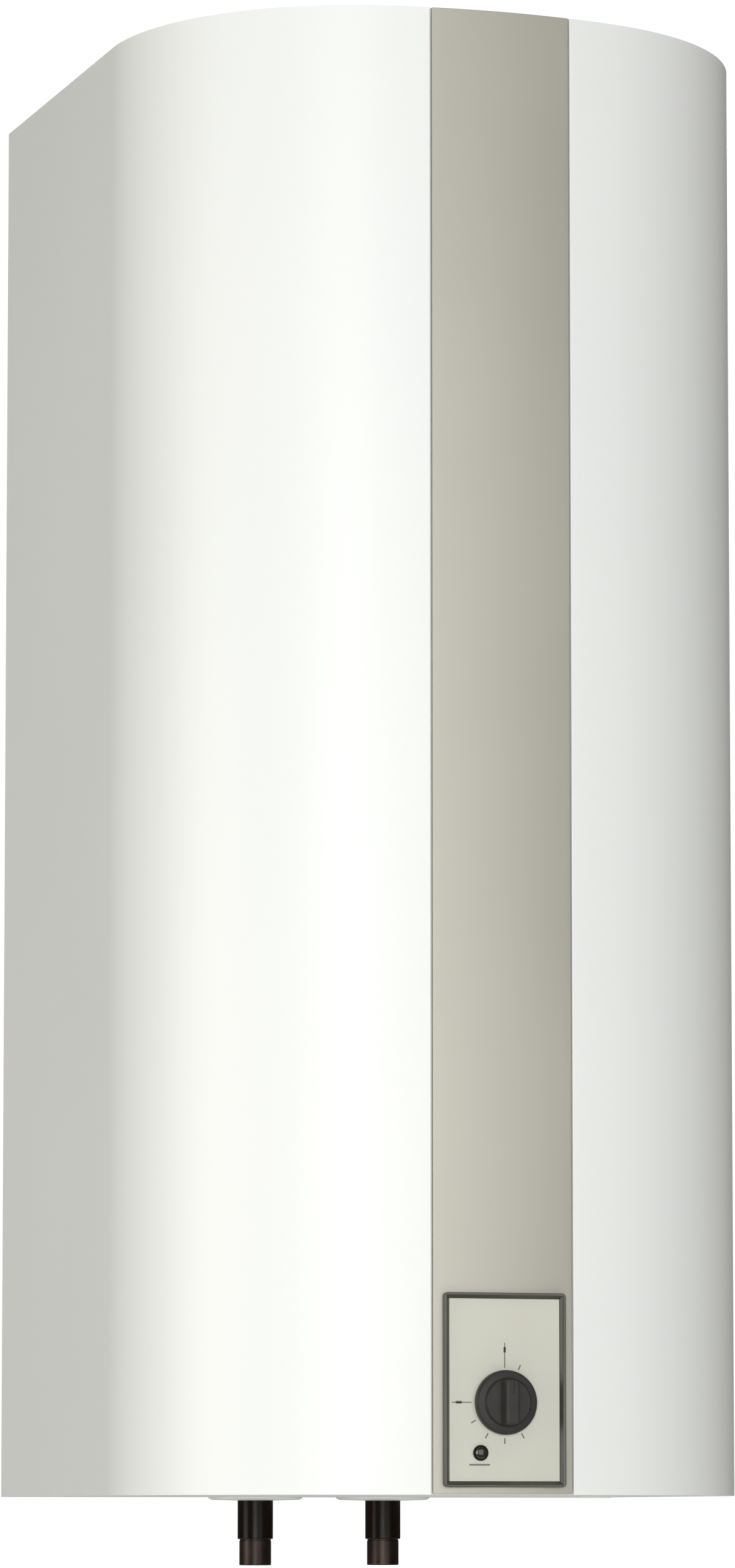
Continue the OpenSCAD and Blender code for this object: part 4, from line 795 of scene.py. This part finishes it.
groove = block("index_groove", (-GROOVE_HALF, GRIP_FRONT - 1, GROOVE_FROM),
               (GROOVE_HALF, GRIP_FRONT + GROOVE_DEEP, GROOVE_TO))
carve(knob, groove)
hand_over(knob, "knob_plastic", "thermostat_knob", body="knob", smooth=30)

# %% [markdown]
# ## The pilot lamp
#
# The lamp left of the knob is unlit in the photograph: a black rim with a dark domed lens. Two plain cylinders would
# look flat, so the rim is turned from an outline and its edges are rounded, and the lens is an arc turned into a
# dome.

# %% Pilot lamp
RIM_OUTLINE = [(0, -24.5), (4, -24.5), (4, 0), (5, 0), (5, 1.6), (4.1, 1.6), (4.1, 0.6), (0, 0.6)]
LENS_R, LENS_BASE, LENS_EDGE, LENS_RISE = 4, 0.65, 1.6, 1
lamp_at = (-16.5, FACE_Y, KNOB_Z - 32)
lamp = turned("lamp_rim", lamp_at, RIM_OUTLINE, front=True, steps=40)
ease(0.3, 3)
hand_over(lamp, "black_plastic", "lamp_body")
angles = [math.radians(a) for a in range(0, 90, 10)]
dome = [(LENS_R * math.cos(a), LENS_EDGE + LENS_RISE * math.sin(a)) for a in angles]
lens_outline = [(0, LENS_BASE), (LENS_R, LENS_BASE), *dome, (0, LENS_EDGE + LENS_RISE)]
lens = turned("lamp_glass", lamp_at, lens_outline, front=True, steps=40)
hand_over(lens, "lamp_smoke", "lamp_lens")

# %% [markdown]
# ## Pipes, sleeves and rosettes
#
# Two straight pipes leave the casing's underside. Each wears a black sleeve that ends above the bare pipe end, and a
# shallow rosette covers the hole in the casing. All are turned, because all are round.

# %% Pipe ends
PIPE_LOW, PIPE_BORE, PIPE_R = -907, 9.7, 10.7
END_R, END_L, END_EASE, END_SLOPE = 11, 16.8, 0.5, 0.3
COLD_TOP, HOT_TOP = -612.5, -15
SLEEVE_OUTLINE = [(11.15, -889), (11.8, -889), (12.25, -888.4), (12.25, -852), (11.15, -852), (11.15, -889)]
ROSETTE_OUTLINE = [(PIPE_HOLE, 0), (PIPE_HOLE, -2.4), (30.1, -2), (32.5, -0.8), (32.5, 0), (31.3, 0), (30.1, -0.8),
                   (15.4, -1.2), (15.4, 0), (PIPE_HOLE, 0)]


def pipe(name, side, top):
    """A pipe from its bare lower end up to a height."""
    end_top = PIPE_LOW + END_L
    return turned(name, (side * PIPE_X, PIPE_Y, 0), [
        (PIPE_BORE, PIPE_LOW), (END_R - END_EASE, PIPE_LOW), (END_R, PIPE_LOW + END_EASE), (END_R, end_top),
        (PIPE_R, end_top + END_SLOPE), (PIPE_R, top), (PIPE_BORE, top), (PIPE_BORE, PIPE_LOW)])


def sleeve(name, side):
    """The black sleeve round a pipe."""
    return turned(name, (side * PIPE_X, PIPE_Y, 0), SLEEVE_OUTLINE)


def rosette(name, side):
    """The shallow disc under the casing, hollow above."""
    made = turned(name, (side * PIPE_X, PIPE_Y, BOTTOM), ROSETTE_OUTLINE, steps=64)
    ease(0.3, 3, lambda m: m.z < BOTTOM - 0.5)
    return made


hand_over(pipe("cold_pipe_end", -1, COLD_TOP), "aged_pipe", "cold_inlet_pipe")
hand_over(pipe("hot_pipe_end", 1, HOT_TOP), "aged_pipe", "hot_outlet_pipe")
hand_over(sleeve("cold_pipe_sleeve", -1), "black_plastic", "cold_sleeve")
hand_over(sleeve("hot_pipe_sleeve", 1), "black_plastic", "hot_sleeve")
hand_over(rosette("cold_disc", -1), "white_plastic", "cold_rosette")
hand_over(rosette("hot_disc", 1), "white_plastic", "hot_rosette")

# %% [markdown]
# ## Small round parts
#
# The supply cable comes in through a plastic grommet under the casing, and a plug on top closes the hole through
# which the insulation was poured. Both are round, so an outline is turned for each.

# %% Grommet and plug
GROMMET_OUTLINE = [(5, -0.7), (5.3, -1), (11, -1), (12, 0), (8.85, 0), (8.85, 1.2), (12, 1.2), (8.85, 4.2), (5, 4.2),
                   (5, -0.7)]
PLUG_OUTLINE = [(0, 1.4), (6, 1.36), (11, 1.1), (14, 0.5), (15, 0), (11.6, 0), (11.6, -1.8), (11.2, -2.2), (0, -2.2)]
grommet = turned("cable_bush", (*CABLE_AT, BOTTOM), GROMMET_OUTLINE)
hand_over(grommet, "white_plastic", "cable_grommet")
plug = turned("filling_plug", (*PLUG_AT, TOP), PLUG_OUTLINE)
hand_over(plug, "white_plastic", "foam_plug")

# %% [markdown]
# ## The back sheet
#
# The back is a zinc-coated sheet with a pocket pressed into it, in which the wall rail and the hooks lie. It starts
# as a plane, is divided along the pocket's outline, and the middle is pushed in. The folds are rounded before the
# sheet gets its thickness, and the slots for the hooks are carved last.

# %% Back sheet
BACK_W, BACK_H, BACK_Y, BACK_Z = 423.2, 954.8, -1, -380
POCKET_HALF, POCKET_LOW, POCKET_HIGH, POCKET_DEEP = 152, -32, 53, 17
HOOK_X, HOOK_HALF, HOOK_LOW, HOOK_HIGH, HOOK_FRONT, HOOK_BACK = 90, 19, -8, 42.3, -30, -14
ACROSS, UP = (1, 0, 0), (0, 0, 1)


def in_pocket(face):
    """Whether a face belongs to the pocket's floor."""
    x, _, z = face.calc_center_median() / MM
    return abs(x) < POCKET_HALF and POCKET_LOW < z < POCKET_HIGH


def face_the_wall(sheet):
    """Turns an open sheet's faces towards the wall, so that its thickness grows away from it."""
    bpy.ops.mesh.select_all(action="SELECT")
    bpy.ops.mesh.normals_make_consistent(inside=False)
    lean = sum(f.normal.y * f.calc_area() for f in bmesh.from_edit_mesh(sheet.data).faces)
    if lean < 0:
        bpy.ops.mesh.flip_normals()


fresh()
bpy.ops.mesh.primitive_plane_add(size=1, rotation=(math.radians(-90), 0, 0), location=(0, BACK_Y * MM, BACK_Z * MM))
back = bpy.context.object
back.name = back.data.name = "back_sheet"
back.scale = (BACK_W * MM, BACK_H * MM, 1)
bpy.ops.object.transform_apply()
bpy.ops.object.mode_set(mode="EDIT")
cuts = [((x, 0, 0), ACROSS) for x in (-POCKET_HALF, POCKET_HALF)]
cuts += [((0, 0, z), UP) for z in (POCKET_LOW, POCKET_HIGH)]
for point, normal in cuts:
    bpy.ops.mesh.select_all(action="SELECT")
    bpy.ops.mesh.bisect(plane_co=[c * MM for c in point], plane_no=normal)
pick("FACE", in_pocket)
push(0, -POCKET_DEEP, 0)
ease(3.0, 4)
face_the_wall(back)
modify(back, "SOLIDIFY", thickness=SHEET_T * MM, offset=-1)
for side in (-1, 1):
    x = side * HOOK_X
    carve(back, block("slot", (x - HOOK_HALF, HOOK_FRONT, HOOK_LOW), (x + HOOK_HALF, HOOK_BACK, HOOK_HIGH)))
hand_over(back, "galvanised", "back_panel")

# %% [markdown]
# ## The wall rail
#
# The rail is a strip bent twice into a step, so that its upper lip stands off the wall and the hooks drop behind it.
# Its section is drawn as a line, pulled along the wall, rounded at the bends and thickened, and the two long screw
# slots are carved with a rounded bar.

# %% Wall rail
RAIL_HALF, RAIL_LOW, RAIL_T = 140, -20, 2.5
RAIL_FLAT, RAIL_STEP, RAIL_LIP = 36, 7, 22
SLOT_X, SLOT_HALF_L, SLOT_HALF_H, SLOT_ROUND = 100, 13, 4.5, 4.49
CUT_FRONT, CUT_BACK = -6, 4
CUT_MIDDLE = (CUT_FRONT + CUT_BACK) / 2
rail = start_line("wall_rail_strip", -RAIL_HALF, 0, RAIL_LOW)
push(0, 0, RAIL_FLAT)
push(0, -RAIL_STEP, 0)
push(0, 0, RAIL_LIP)
bpy.ops.mesh.select_all(action="SELECT")
push(2 * RAIL_HALF, 0, 0)
tidy_faces()
ease(1.5, 4)
face_the_wall(rail)
modify(rail, "SOLIDIFY", thickness=RAIL_T * MM, offset=-1, use_even_offset=True)
for side in (-1, 1):
    x = side * SLOT_X
    slot_bar = block("slot_bar", (x - SLOT_HALF_L, CUT_FRONT, -SLOT_HALF_H), (x + SLOT_HALF_L, CUT_BACK, SLOT_HALF_H))
    ease(SLOT_ROUND, 8, lambda m: abs(m.y - CUT_MIDDLE) < NEAR)
    carve(rail, slot_bar)
bpy.ops.object.mode_set(mode="EDIT")
ease(0.25, 2)
hand_over(rail, "galvanised", "wall_rail")
